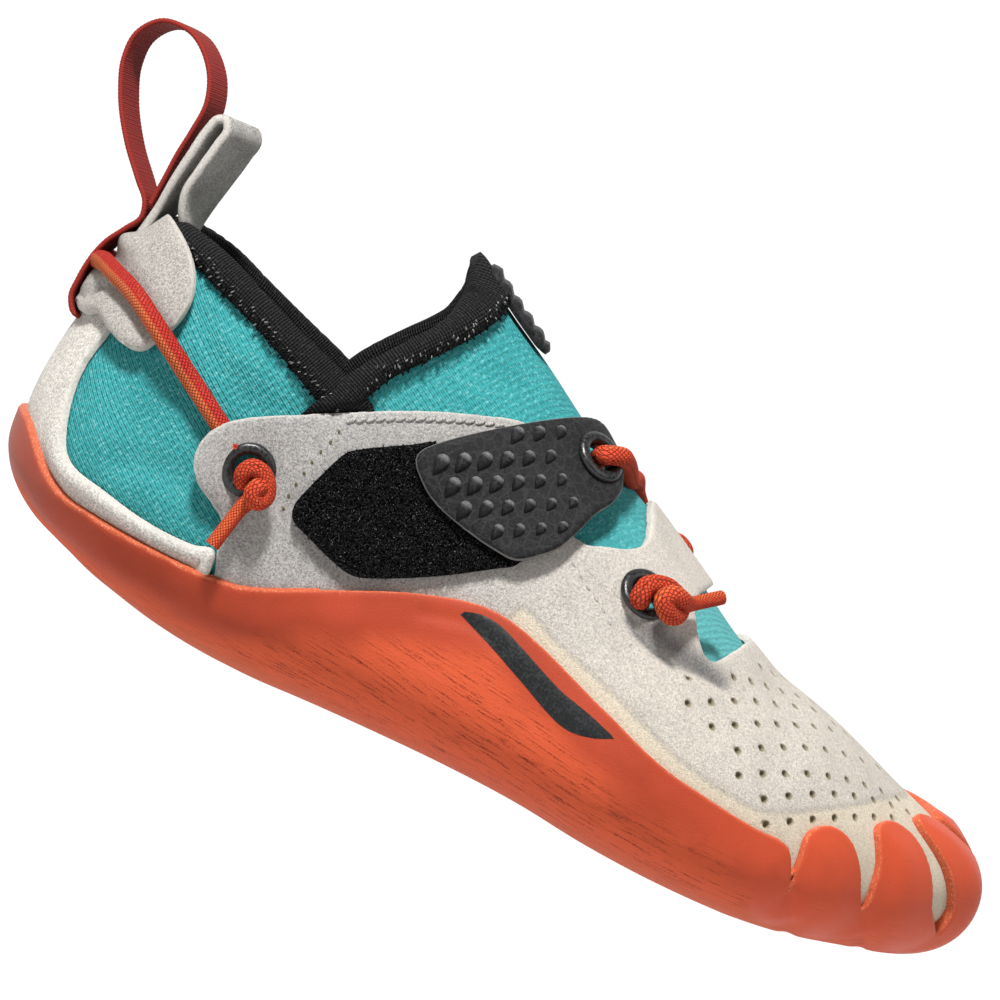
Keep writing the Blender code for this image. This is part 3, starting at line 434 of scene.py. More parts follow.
def cut(field, data, quads):
    """Cuts the grid to where the field is positive: rows of data, and faces that use them."""
    pushed = np.where(field >= 0, CUT_MARGIN, -CUT_MARGIN)
    field = np.where(np.abs(field) < CUT_MARGIN, pushed, field)
    kept = field > 0
    count = kept[quads].sum(axis=1)
    faces = [list(dict.fromkeys(quad)) for quad in quads[count == 4].tolist()]
    made = {}
    rows = []
    for quad in quads[(count > 0) & (count < 4)].tolist():
        face = []
        for a, b in zip(quad, quad[1:] + quad[:1]):
            if kept[a] and a not in face:
                face.append(a)
            if kept[a] != kept[b]:
                low, high = min(a, b), max(a, b)
                if (low, high) not in made:
                    made[low, high] = len(field) + len(rows)
                    share = field[low] / (field[low] - field[high])
                    rows.append(data[low] * (1 - share) + data[high] * share)
                face.append(made[low, high])
        faces.append(face)
    faces = [face for face in faces if len(face) > 2]
    data = np.concatenate([data, np.array(rows).reshape(-1, data.shape[1])])
    used = np.unique(np.concatenate([np.array(face) for face in faces]))
    renumber = np.full(len(data), -1)
    renumber[used] = np.arange(len(used))
    return data[used], [renumber[face].tolist() for face in faces]


def open_edges(faces):
    """Edges that only one face has, in the direction in which that face runs along them."""
    edges = {}
    for face in faces:
        for a, b in zip(face, face[1:] + face[:1]):
            if (b, a) in edges:
                del edges[b, a]
            else:
                edges[a, b] = True
    return list(edges)


def panel(name, field, inner, outer, look, nodes, soft, values, floor=None, quads=QUADS):
    """A closed shell between two distances from the last, where the field is positive.

    soft has how far the outer surface drops at the cut edge, and the width over which it does."""
    size = len(POINTS)
    columns = [POINTS, NORMALS, field, np.broadcast_to(inner, size), np.broadcast_to(outer, size)]
    data, faces = cut(field, np.column_stack(columns + list(values.values())), quads)
    points, normals, kept_values = data[:, :3], data[:, 3:6], data[:, 9:]
    field, inner, outer = data[:, 6:9].T
    drop, width = soft
    roll = 1 - np.clip(field / width, 0, 1)
    outer = outer - drop * (1 - np.sqrt(np.maximum(1 - roll**2, 0)))
    top = points + normals * outer[:, None]
    bottom = points + normals * inner[:, None]
    if floor is not None:
        top[:, 2] = soft_floor(top[:, 2], floor)
        low = np.maximum(bottom[:, 2], top[:, 2] + LEAST_THICK)
        bottom[:, 2] = np.where(normals[:, 2] < 0, low, bottom[:, 2])
    count = len(points)
    walls = [(b, a, a + count, b + count) for a, b in open_edges(faces)]
    all_faces = faces + [[i + count for i in reversed(face)] for face in faces] + walls
    shown = {key: np.tile(column, 2) for key, column in zip(values, kept_values.T)}
    shown["edge"] = np.concatenate([field, field])
    piece = new_piece(name, np.concatenate([top, bottom]), all_faces, look, shown)
    if nodes:
        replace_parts(piece, *nodes)
    return piece


def soft_floor(height, room):
    """Heights that stop softly at the floor."""
    lifted = 0.5 * (height + np.sqrt(height**2 + room**2))
    return lifted - 0.5 * room * np.exp(-np.abs(height) / room)


MIX_SHARE, MIX_FIRST, MIX_SECOND, MIX_RESULT = 0, 6, 7, 2  # sockets of a node that mixes colours


class Look:
    """A procedural finish: a Principled shader and the nodes that feed it. Places are in millimetres."""

    def __init__(self, name, roughness, **sockets):
        self.material = bpy.data.materials.new(name)
        self.material.use_nodes = True
        self.tree = self.material.node_tree
        self.shader = self.tree.nodes["Principled BSDF"]
        self.set(Roughness=roughness, **sockets)
        place = self.tree.nodes.new("ShaderNodeTexCoord").outputs["Object"]
        self.place = self.add("ShaderNodeVectorMath", {0: place, "Scale": 1 / MM}, operation="SCALE")

    def set(self, **sockets):
        """Sets or links sockets of the shader, whose names have _ for a space."""
        for name, value in sockets.items():
            self.feed(self.shader.inputs[name.replace("_", " ")], value)

    def feed(self, socket, value):
        """Links a socket to another, or sets its value."""
        if isinstance(value, bpy.types.NodeSocket):
            self.tree.links.new(value, socket)
        elif isinstance(value, (tuple, list)) and len(value) == 3 and socket.type == "RGBA":
            socket.default_value = (*value, 1)
        else:
            socket.default_value = value

    def add(self, kind, sockets, output=0, **settings):
        """A node with its settings and sockets, and one of its outputs."""
        node = self.tree.nodes.new(kind)
        for name, value in settings.items():
            setattr(node, name, value)
        for name, value in sockets.items():
            self.feed(node.inputs[name], value)
        return node.outputs[output]

    def value(self, name):
        """A value stored on the mesh."""
        return self.add("ShaderNodeAttribute", {}, "Fac", attribute_name=name)

    def maths(self, operation, first, second=0.0):
        """Arithmetic on one or two values."""
        return self.add("ShaderNodeMath", {0: first, 1: second}, operation=operation)

    def times(self, first, second):
        """One value times another."""
        return self.maths("MULTIPLY", first, second)

    def plus(self, first, second):
        """Two values added."""
        return self.maths("ADD", first, second)

    def along_axis(self, axis):
        """The place along one axis."""
        return self.add("ShaderNodeSeparateXYZ", {0: self.place}, axis)

    def ramp(self, value, low, high, start=0.0, end=1.0):
        """Goes smoothly from start at low to end at high."""
        sockets = {"Value": value, 1: low, 2: high, 3: start, 4: end}
        return self.add("ShaderNodeMapRange", sockets, interpolation_type="SMOOTHSTEP")

    def noise(self, scale, detail=2.0, place=None, roughness=0.5):
        """Noise with so many features for each millimetre."""
        place = place or self.place
        sockets = {"Vector": place, "Scale": scale, "Detail": detail, "Roughness": roughness}
        return self.add("ShaderNodeTexNoise", sockets)

    def wave(self, scale, place, bend):
        """Ridges that follow each other along the first axis of a place."""
        sockets = {"Vector": place, "Scale": scale, "Distortion": bend, "Detail": 1.0}
        return self.add("ShaderNodeTexWave", sockets, "Fac")

    def joined(self, x, y, z=0.0):
        """A vector from three values."""
        return self.add("ShaderNodeCombineXYZ", {0: x, 1: y, 2: z})

    def mix(self, share, first, second, blend="MIX"):
        """Mixes two colours."""
        node = self.tree.nodes.new("ShaderNodeMix")
        node.data_type = "RGBA"
        node.blend_type = blend
        self.feed(node.inputs[MIX_SHARE], share)
        self.feed(node.inputs[MIX_FIRST], first)
        self.feed(node.inputs[MIX_SECOND], second)
        return node.outputs[MIX_RESULT]

    def bump(self, height, depth):
        """Gives the surface relief from a height between 0 and 1, so many millimetres deep."""
        return self.add("ShaderNodeBump", {"Height": height, "Distance": depth * MM, "Strength": 1.0})


# Colours, in linear light
ORANGE = (0.355, 0.050, 0.023)
# Sanded rubber, also painted brighter as light from below
ORANGE_SANDED_UNDERLIT = (0.55, 0.087, 0.034)
# Painted light at the toe
ORANGE_LIT_TOE = (0.53, 0.075, 0.031)
ORANGE_STREAK = (0.13, 0.015, 0.009)
# Paler colour of the cut edges, also used as painted light from below near the floor
ORANGE_CUT_EDGE_AND_UNDERLIT = (0.52, 0.115, 0.048)
ORANGE_DUST = (0.28, 0.10, 0.074)
# Painted glints on the rubber's cut edges
ORANGE_GLINT = (0.75, 0.36, 0.22)
GREY_SUEDE = (0.43, 0.415, 0.40)
# Warmer suede towards the toe, also painted brighter as light on the vamp
WARM_LIT_SUEDE = (0.655, 0.595, 0.525)
PALE_SUEDE = (0.72, 0.68, 0.62)
HOLE_SHADE = (0.21, 0.165, 0.075)
DARK_NAP = (0.16, 0.15, 0.135)
GLUE = (0.86, 0.74, 0.52)
# Painted glints on the glue film
GLUE_GLINT = (0.95, 0.92, 0.80)
# Painted shadow grey for the vamp fold
FOLD_SHADOW_GREY = (0.12, 0.12, 0.125)
TURQUOISE = (0.046, 0.305, 0.31)
TURQUOISE_DEEP = (0.010, 0.155, 0.165)
# Painted light: yarn glints and the paler front of the knit
TURQUOISE_LIT = (0.18, 0.46, 0.46)
BLACK = (0.008, 0.008, 0.0087)
CORD_ORANGE = (0.62, 0.14, 0.048)
# Painted shade: the redder flank of the cords and knots
CORD_SHADED_RED = (0.46, 0.028, 0.022)
KNOT_ORANGE = (0.64, 0.105, 0.034)
KNOT_SHADED_RED = (0.58, 0.062, 0.026)
CORD_GAP = (0.20, 0.016, 0.012)
WEB_RED = (0.20, 0.019, 0.015)
WEB_EDGE = (0.27, 0.024, 0.015)
RIB_GREY = (0.024, 0.0235, 0.0245)
BAND_SPECK = (0.07, 0.068, 0.066)
PILE_BLACK = (0.001, 0.001, 0.0012)
PILE_GLINT = (0.34, 0.34, 0.35)
GRIP_BLACK = (0.004, 0.004, 0.0043)
GRIP_GREY = (0.018, 0.018, 0.019)
GRIP_NET = (0.06, 0.06, 0.06)
GRIP_GLINT = (0.055, 0.055, 0.057)
# Painted shade at the studs' feet and painted highlights on their tips
STUD_SHADE = (0.002, 0.002, 0.002)
STUD_HIGHLIGHT = (0.15, 0.15, 0.153)
GRIP_CUT = (0.22, 0.21, 0.20)
ENAMEL_WORN = (0.02, 0.02, 0.018)
# Painted highlights on the cord
CORD_HIGHLIGHT = (0.72, 0.27, 0.11)
FILM_BLACK = (0.008, 0.0085, 0.009)
FILM_GREY = (0.028, 0.029, 0.030)
BAND_SUEDE_REAR = (0.72, 0.68, 0.62)
BAND_SUEDE_FRONT = (0.64, 0.60, 0.55)
SADDLE_GREY = (0.45, 0.42, 0.385)
TAB_GREY = (0.45, 0.43, 0.40)
SUEDE_TURNS_WARM = (5.0, 75.0)  # from where to where along the shoe, from the row's origin
KNIT_SLOPE = math.radians(28)
KNIT_COURSE = 0.46


def suede_look(name, grey, warm, marked=False, soiled=0.0):
    """Napped and grained suede: grey towards the heel, warm towards the toe, where it is also painted
    brighter as light.

    Marked suede also has glue, punched holes and painted shadow below the vamp fold. soiled is how much
    darker its clouds are."""
    look = Look(name, 0.95, Specular_IOR_Level=0.12)
    x = look.along_axis(0)
    nap = look.noise(2.3, 5.0, roughness=0.85)
    fine = look.noise(5.0, 2.0, roughness=0.7)
    cloud = look.noise(0.13, 4.0)
    pits = look.ramp(look.noise(1.5, 3.0, roughness=0.8), 0.60, 0.68)
    # Grey to warm along the shoe: a real change of tone, plus painted light that makes the vamp brighter
    colour = look.mix(look.ramp(x, *SUEDE_TURNS_WARM), grey, warm)
    colour = look.mix(look.ramp(cloud, 0.4, 0.7, 0.0, 0.12 + soiled), colour, DARK_NAP)
    darkest = look.ramp(x, *SUEDE_TURNS_WARM, 0.46, 0.66)
    palest = look.ramp(x, *SUEDE_TURNS_WARM, 1.34, 1.20)
    grain = look.ramp(nap, 0.34, 0.66, darkest, palest)
    colour = look.mix(1.0, colour, look.joined(grain, grain, grain), "MULTIPLY")
    colour = look.mix(look.times(pits, 0.55), colour, DARK_NAP)
    colour = look.mix(look.ramp(fine, 0.52, 0.64, 0.0, 0.45), colour, PALE_SUEDE)
    colour = look.mix(look.ramp(look.value("edge"), 0.0, 0.6, 0.5, 0.0), colour, PALE_SUEDE)
    roughness = 0.95
    if marked:
        glue = look.plus(look.value("glue"), look.ramp(nap, 0.35, 0.65, -0.8, 0.8))
        wet = look.ramp(glue, -0.4, 0.7)
        flecks = look.ramp(look.noise(2.6, 4.0, roughness=0.85), 0.40, 0.58)
        # Painted glints on the glue film
        glue_glints = look.ramp(look.noise(3.4, 2.0, roughness=0.9), 0.60, 0.68)
        film = look.mix(flecks, look.mix(0.4, GLUE, DARK_NAP), GLUE)
        film = look.mix(glue_glints, film, GLUE_GLINT)
        colour = look.mix(look.times(wet, 0.55), colour, film)
        rim = look.ramp(look.maths("ABSOLUTE", look.value("glue")), 0.2, 0.9, 0.2, 0.0)
        colour = look.mix(rim, colour, DARK_NAP)
        # Painted shadow under the vamp fold, and painted shade in its crease
        fold_shadow = look.times(look.value("fold_shadow"), look.ramp(nap, 0.3, 0.6, 1.0, 0.75))
        colour = look.mix(fold_shadow, colour, FOLD_SHADOW_GREY)
        colour = look.mix(look.times(look.value("hole"), 0.85), colour, HOLE_SHADE)
        roughness = look.ramp(look.times(wet, flecks), 0.1, 0.8, 0.95, 0.35)
    height = look.plus(nap, look.times(fine, 0.4))
    look.set(Base_Color=colour, Roughness=roughness, Normal=look.bump(height, 0.4))
    return look.material


def rubber_look():
    """Smooth orange rubber, sanded in streaks below, with painted light: brighter where sanded and at the
    toe, paler where it meets the floor, and painted glints on its pale cut edges.
    """
    look = Look("orange_rubber", 0.5, Specular_IOR_Level=0.08)
    places = [look.along_axis(axis) for axis in range(3)]
    climb = look.value("climb")
    cloud = look.noise(0.07, 3.0)
    sanded = look.plus(look.value("edge"), look.times(cloud, 9.0))
    sanded = look.ramp(sanded, 9.0, 15.0)
    along = look.times(places[0], 0.16)
    side = look.times(places[1], 0.05)
    streak = look.noise(1.0, 4.0, look.joined(along, look.times(climb, 3.2), side), 0.7)
    fine = look.noise(3.2, 3.0, roughness=0.7)
    glint_spots = look.ramp(look.noise(3.0, 2.0, roughness=0.9), 0.55, 0.66)
    colour = look.mix(look.ramp(cloud, 0.35, 0.65), ORANGE, tuple(0.86 * c for c in ORANGE))
    colour = look.mix(look.ramp(places[0], -58.0, -24.0, 0.5, 0.0), colour, ORANGE_DUST)
    # Painted light: the rubber is brighter towards the toe
    colour = look.mix(look.ramp(places[0], 70.0, 112.0), colour, ORANGE_LIT_TOE)
    # The sanded part is also painted brighter, as light from below
    colour = look.mix(sanded, colour, ORANGE_SANDED_UNDERLIT)
    dark = look.times(look.ramp(streak, 0.52, 0.62, 0.0, 0.9), sanded)
    dark = look.times(dark, look.ramp(fine, 0.35, 0.6))
    colour = look.mix(dark, colour, ORANGE_STREAK)
    # Painted light from below: paler near the floor
    underlit = look.ramp(places[2], 0.4, 5.0, 0.75, 0.0)
    underlit = look.times(underlit, look.ramp(fine, 0.3, 0.6, 0.4, 1.0))
    colour = look.mix(underlit, colour, ORANGE_CUT_EDGE_AND_UNDERLIT)
    rim = look.ramp(look.value("edge"), 0.05, 0.45, 1.0, 0.0)
    colour = look.mix(look.times(rim, 0.55), colour, ORANGE_CUT_EDGE_AND_UNDERLIT)
    # Painted glints on the cut edges
    colour = look.mix(look.times(rim, look.times(glint_spots, 0.7)), colour, ORANGE_GLINT)
    height = look.plus(look.times(look.times(streak, sanded), 1.6), fine)
    roughness = look.ramp(sanded, 0.0, 1.0, 0.42, 0.62)
    look.set(Base_Color=colour, Roughness=roughness, Normal=look.bump(height, 0.12))
    return look.material


def knit_look():
    """Fine turquoise knit: slanted courses, small dimples, painted yarn glints, and painted light that
    makes it paler to the front.
    """
    look = Look("turquoise_knit", 0.9, Specular_IOR_Level=0.12)
    run, climb = look.value("run"), look.value("climb")
    level, steep = math.cos(KNIT_SLOPE), math.sin(KNIT_SLOPE)
    down = look.maths("SUBTRACT", look.times(run, level), look.times(climb, steep))
    up = look.plus(look.times(run, steep), look.times(climb, level))
    rows = look.wave(1 / KNIT_COURSE / 6.283 * 2, look.joined(up, down), 0.6)
    sockets = {
        "Vector": look.joined(look.maths("DIVIDE", down, 1.25), look.maths("DIVIDE", up, 0.95)),
        "Scale": 1.0,
        "Randomness": 0.25,
    }
    dimple = look.ramp(look.add("ShaderNodeTexVoronoi", sockets, "Distance"), 0.12, 0.55)
    yarn_place = look.joined(look.times(down, 2.6), look.times(up, 0.8))
    yarn = look.noise(1.0, 3.0, yarn_place, 0.65)
    cloud = look.noise(0.09, 2.0)
    colour = look.mix(look.ramp(cloud, 0.3, 0.7, 0.0, 0.35), TURQUOISE, TURQUOISE_DEEP)
    colour = look.mix(look.ramp(rows, 0.1, 0.7, 0.62, 0.0), colour, TURQUOISE_DEEP)
    colour = look.mix(look.ramp(dimple, 0.0, 0.6, 0.4, 0.0), colour, TURQUOISE_DEEP)
    colour = look.mix(look.ramp(yarn, 0.50, 0.70, 0.0, 0.7), colour, TURQUOISE_LIT)
    # Painted light: the knit is paler towards the front
    colour = look.mix(look.ramp(look.along_axis(0), 40.0, 75.0, 0.0, 0.35), colour, TURQUOISE_LIT)
    height = look.plus(look.times(rows, 0.5), dimple)
    look.set(Base_Color=colour, Normal=look.bump(height, 0.16))
    return look.material


def band_look():
    """Black ribbed knit of the collar, with pale specks of thread all over."""
    look = Look("black_knit", 0.9, Specular_IOR_Level=0.1)
    along, low = look.value("along"), look.value("low")
    ribs = look.wave(0.62, look.joined(along, low), 0.4)
    cross = look.wave(0.5, look.joined(low, along), 0.4)
    specks = look.ramp(look.noise(2.6, 2.0, roughness=0.8), 0.56, 0.66)
    colour = look.mix(look.ramp(ribs, 0.45, 0.95), tuple(0.5 * c for c in BLACK), RIB_GREY)
    colour = look.mix(look.ramp(cross, 0.5, 1.0, 0.0, 0.4), colour, BLACK)
    colour = look.mix(look.times(specks, 0.4), colour, BAND_SPECK)
    height = look.plus(ribs, look.times(cross, 0.6))
    look.set(Base_Color=colour, Normal=look.bump(height, 0.22))
    return look.material


def pile_look():
    """Black loop pile with small glints."""
    look = Look("black_pile", 0.8, Specular_IOR_Level=0.02)
    glint = look.ramp(look.noise(3.6, 2.0, roughness=0.9), 0.60, 0.72)
    colour = look.mix(glint, PILE_BLACK, PILE_GLINT)
    look.set(Base_Color=colour, Normal=look.bump(look.noise(3.0, 3.0, roughness=0.8), 0.5))
    return look.material


def grip_look(name, pale_edge):
    """Moulded black rubber: a grain, a fine net, painted highlights on the tips of its studs and painted
    shade at their feet, perhaps a pale cut edge.
    """
    look = Look(name, 0.4, Specular_IOR_Level=0.12)
    fine = look.noise(3.0, 4.0, roughness=0.75)
    cells = {"Vector": look.place, "Scale": 0.5}
    border = look.add("ShaderNodeTexVoronoi", cells, "Distance", feature="DISTANCE_TO_EDGE")
    net = look.ramp(border, 0.02, 0.10)
    glint = look.ramp(look.noise(2.8, 3.0, roughness=0.85), 0.56, 0.66)
    tip = look.value("tip")
    colour = look.mix(look.ramp(fine, 0.3, 0.7), GRIP_BLACK, GRIP_GREY)
    colour = look.mix(look.ramp(net, 0.0, 1.0, 0.2, 0.0), colour, GRIP_NET)
    colour = look.mix(look.times(glint, 0.5), colour, GRIP_GLINT)
    # Painted shade at the studs' lower ends and painted highlights on their tips
    colour = look.mix(look.ramp(tip, -0.1, -0.8, 0.0, 0.8), colour, STUD_SHADE)
    lit = look.times(look.ramp(tip, 0.25, 0.75), look.ramp(fine, 0.35, 0.6, 0.35, 1.0))
    colour = look.mix(lit, colour, STUD_HIGHLIGHT)
    colour = look.mix(look.ramp(look.value("edge"), 0.0, 0.18, pale_edge, 0.0), colour, GRIP_CUT)
    roughness = look.ramp(fine, 0.3, 0.7, 0.30, 0.55)
    look.set(Base_Color=colour, Roughness=roughness, Normal=look.bump(fine, 0.16))
    return look.material


def enamel_look():
    """Black enamel, a little worn."""
    look = Look("black_enamel", 0.3, Specular_IOR_Level=0.5)
    fine = look.noise(2.2, 3.0)
    look.set(Base_Color=look.mix(look.ramp(fine, 0.4, 0.7), BLACK, ENAMEL_WORN))
    look.set(Roughness=look.ramp(fine, 0.3, 0.7, 0.24, 0.45), Normal=look.bump(fine, 0.03))
    return look.material


def cord_look(name, orange, red):
    """Braided cord: strands that cross, orange on one flank and redder on the other, the redder flank
    being painted shade, with painted highlights.
    """
    look = Look(name, 0.75, Specular_IOR_Level=0.1)
    along, around = look.value("along"), look.value("around")
    strands = []
    for turn in (1.0, -1.0):
        twist = look.times(around, turn * math.pi * BRAID_STRANDS)
        wave = look.maths("SINE", look.plus(look.times(along, 0.5 * BRAID_RATE), twist))
        strands.append(look.maths("ABSOLUTE", wave))
    weave = look.ramp(look.maths("MINIMUM", *strands), 0.05, 0.65)
    # Painted shade: one flank of the cord is made redder
    flank = look.maths("COSINE", look.times(around, 2 * math.pi))
    flank = look.plus(flank, look.times(strands[0], 0.12))
    colour = look.mix(look.ramp(flank, 0.02, 0.22), orange, red)
    colour = look.mix(look.ramp(weave, 0.0, 0.7, 0.8, 0.0), colour, CORD_GAP)
    # Painted highlights as pale orange flecks
    colour = look.mix(look.ramp(look.noise(2.5, 2.0), 0.55, 0.75, 0.0, 0.35), colour, CORD_HIGHLIGHT)
    look.set(Base_Color=colour, Normal=look.bump(weave, 0.3))
    return look.material


def webbing_look():
    """Woven red webbing with fine ribs and a brighter selvedge."""
    look = Look("red_webbing", 0.75, Specular_IOR_Level=0.12)
    along, across = look.value("along"), look.value("across")
    ribs = look.wave(0.8, look.joined(along, across), 0.3)
    warp = look.wave(0.55, look.joined(across, along), 0.2)
    edge = look.ramp(look.maths("ABSOLUTE", across), 4.2, 4.8)
    colour = look.mix(look.ramp(ribs, 0.2, 0.9), tuple(0.82 * c for c in WEB_RED), WEB_RED)
    colour = look.mix(look.ramp(warp, 0.5, 1.0, 0.0, 0.3), colour, WEB_EDGE)
    colour = look.mix(edge, colour, WEB_EDGE)
    height = look.plus(ribs, look.times(warp, 0.5))
    look.set(Base_Color=colour, Normal=look.bump(height, 0.05))
    return look.material


def plain_cloth_look(name, dark, pale):
    """Plain brushed cloth."""
    look = Look(name, 0.9, Specular_IOR_Level=0.05)
    fine = look.noise(3.0, 3.0, roughness=0.7)
    weave = look.wave(0.8, look.place, 0.4)
    look.set(Base_Color=look.mix(look.ramp(fine, 0.35, 0.65), dark, pale), Normal=look.bump(weave, 0.08))
    return look.material


def badge_look():
    """Thin black film with a faint grain."""
    look = Look("black_film", 0.5, Specular_IOR_Level=0.25)
    fine = look.noise(2.4, 3.0, roughness=0.7)
    look.set(Base_Color=look.mix(look.ramp(fine, 0.45, 0.75), FILM_BLACK, FILM_GREY))
    look.set(Roughness=look.ramp(fine, 0.3, 0.7, 0.34, 0.55))
    return look.material


SUEDE = suede_look("pale_suede", GREY_SUEDE, WARM_LIT_SUEDE, marked=True)
PLAIN_SUEDE = suede_look("pale_suede_plain", BAND_SUEDE_REAR, BAND_SUEDE_FRONT)
SADDLE_SUEDE = suede_look("pale_suede_saddle", SADDLE_GREY, SADDLE_GREY)
TAB_SUEDE = suede_look("pale_suede_tab", TAB_GREY, TAB_GREY, soiled=0.3)
RUBBER = rubber_look()
KNIT = knit_look()
BAND = band_look()
PILE = pile_look()
GRIP = grip_look("charcoal_rubber", 0.7)
TONGUE_GRIP = grip_look("black_moulded_rubber", 0.0)
ENAMEL = enamel_look()
CORD = cord_look("orange_cord", CORD_ORANGE, CORD_SHADED_RED)
KNOT_CORD = cord_look("orange_cord_knot", KNOT_ORANGE, KNOT_SHADED_RED)
WEBBING_LOOK = webbing_look()
BADGE = badge_look()
THREAD = plain_cloth_look("grey_thread", (0.24, 0.23, 0.215), (0.44, 0.42, 0.395))
BAND_THREAD = plain_cloth_look("black_thread", (0.003, 0.003, 0.0035), (0.012, 0.012, 0.0125))
PALE_THREAD = plain_cloth_look("speck_thread", (0.05, 0.05, 0.05), (0.30, 0.295, 0.29))
FIBRE = plain_cloth_look("black_fibre", PILE_BLACK, (0.022, 0.022, 0.023))
HOLE = plain_cloth_look("hole_shade", (0.08, 0.07, 0.04), (0.16, 0.14, 0.085))
INSOLE = plain_cloth_look("insole_cloth", (0.20, 0.19, 0.18), (0.36, 0.35, 0.33))
frame["nodes"]["insole"].data.materials.clear()
frame["nodes"]["insole"].data.materials.append(INSOLE)

# The rubber's upper edge on the outer side, as it is seen, from the heel to the third toe finger
RIM = [
    (0.4, 22.5), (2.2, 21.0), (5.2, 18.0), (7.8, 15.5), (11.3, 13.2), (14.8, 11.8), (19.6, 11.3),
    (30.5, 10.9), (40.2, 11.1), (48.1, 12.0), (52.2, 13.5), (58.8, 16.8), (65.0, 20.0), (74.0, 24.4),
    (80.9, 27.1), (86.2, 28.7), (90.8, 29.3), (95.4, 28.9), (101.2, 27.5), (107.2, 25.6), (113.3, 23.5),
    (118.5, 21.9), (125.1, 19.7), (131.6, 18.1), (138.1, 17.3), (144.9, 16.6), (150.0, 16.3),
    (154.5, 16.4), (156.6, 15.6), (158.3, 13.0), (159.7, 8.6, "corner"),
]
FINGERS = [
    (159.3, 12.4), (159.0, 15.4), (158.4, 18.6), (158.6, 20.6), (159.8, 22.2), (161.6, 23.0),
    (163.8, 22.9), (166.0, 21.9), (167.9, 20.2), (169.7, 17.8), (171.4, 14.4), (172.9, 11.4, "corner"),
    (172.9, 16.6), (171.9, 20.8), (170.2, 24.0), (168.8, 26.4), (168.9, 27.8), (170.0, 28.7),
    (171.8, 28.9), (174.4, 28.3), (177.0, 26.9), (179.5, 24.7), (181.9, 21.3), (183.6, 17.6),
]
# From there on round the toe: running length round the shoe, and height along its surface
TOE_FLAPS = [
    (209.0, -4.0, "corner"), (207.6, -0.6), (205.0, 2.8), (202.4, 6.4), (200.0, 9.8), (198.9, 12.4),
    (199.8, 14.2), (204.0, 15.0), (209.2, 14.1), (213.2, 10.8), (216.8, 7.0), (220.2, 2.0),
    (222.4, -2.4, "corner"), (221.6, 2.8), (219.2, 7.4), (216.6, 11.2), (215.0, 14.2), (215.6, 16.0),
    (219.2, 17.2), (226.0, 17.2), (234.0, 15.4), (243.0, 11.2), (252.0, 6.2),
]
INNER_RIM = [
    (150.0, 18.0), (136.0, 18.6), (124.0, 21.4), (110.0, 26.0), (98.0, 29.6), (88.0, 30.6),
    (78.0, 28.0), (64.0, 21.6), (52.0, 15.4), (42.0, 13.0), (26.0, 12.8), (16.0, 13.2), (9.0, 16.4),
    (4.0, 20.8),
]
RUBBER_VIEW = 3.3
FAR_BELOW, RIM_REACH = -200.0, 250.0
RUBBER_DENTS = [
    (-0.7, (18.6, 8.6), 5.0, 3.2, -30), (-0.45, (45.2, 9.6), 1.6, 4.0, 15),
    (0.35, (40.4, 9.4), 2.4, 3.4, 15), (-0.35, [(80.0, 23.0), (88.0, 25.2), (95.0, 23.6)], 1.1),
]
SLIT_DENTS = [(-0.5, [(160.0, 8.0), (162.0, 4.5)], 1.2), (-0.5, [(173.4, 11.0), (175.0, 7.0)], 1.2)]


def rim_field():
    """Distance below the rubber's upper edge, along the surface."""
    rows = []
    for row in RIM + FINGERS:
        found = spot(row[0], row[1], RUBBER_VIEW)
        rows.append((found.run, found.climb, *row[2:]))
    rows += TOE_FLAPS
    for x, height in INNER_RIM:
        found = spot(x, height, RUBBER_VIEW, 1)
        rows.append((found.run, found.climb))
    before = [(row[0] - OUTLINE_LENGTH, row[1]) for row in rows[-4:]]
    after = [(row[0] + OUTLINE_LENGTH, row[1]) for row in rows[:4]]
    line = smooth_line(before + rows + after, closed=False)
    closing = [(line[-1][0], FAR_BELOW), (line[0][0], FAR_BELOW)]
    places = np.column_stack([GRID_RUN, GRID_CLIMB])
    return outline_field(places, np.concatenate([line, closing]), RIM_REACH)


RUBBER_FIELD = rim_field()
SHARED = {"run": GRID_RUN, "climb": GRID_CLIMB}


def rubber_outer():
    """Outside of the rubber: thicker below, thin at its upper edge, with soft dents."""
    view = seen_at(RUBBER_VIEW)
    below = np.clip(-NORMALS[:, 2], 0, 1) ** 2
    outer = RUBBER_SIDE + (RUBBER_TREAD - RUBBER_SIDE) * below
    outer = outer - 0.75 * (1 - step_up(RUBBER_FIELD, 0, 6))
    outer = outer + relief(view, RUBBER_DENTS) * ON_OUTER
    outer = outer + 0.25 * np.sin(GRID_RUN * 0.21) * step_up(RUBBER_FIELD, 2, 9) * (1 - below)
    outer = outer + 0.6 * step_up(POINTS[:, 0], 170, 188)
    return outer + relief(view, SLIT_DENTS)


def build_outsole():
    """The wrapped rubber with its fingers, flat on the floor, and the black leaf on its side."""
    outer = rubber_outer()
    panel(
        "outsole_rubber", RUBBER_FIELD, RUBBER_LINING, outer, RUBBER, ["outsole"],
        (0.35, 0.55), SHARED, floor=0.5,
    )
    leaf = outer_outline(BADGE_LINE, RUBBER_VIEW)
    panel("leaf_film", leaf, outer - 0.5, outer + 0.1, BADGE, (), (0.05, 0.2), SHARED)


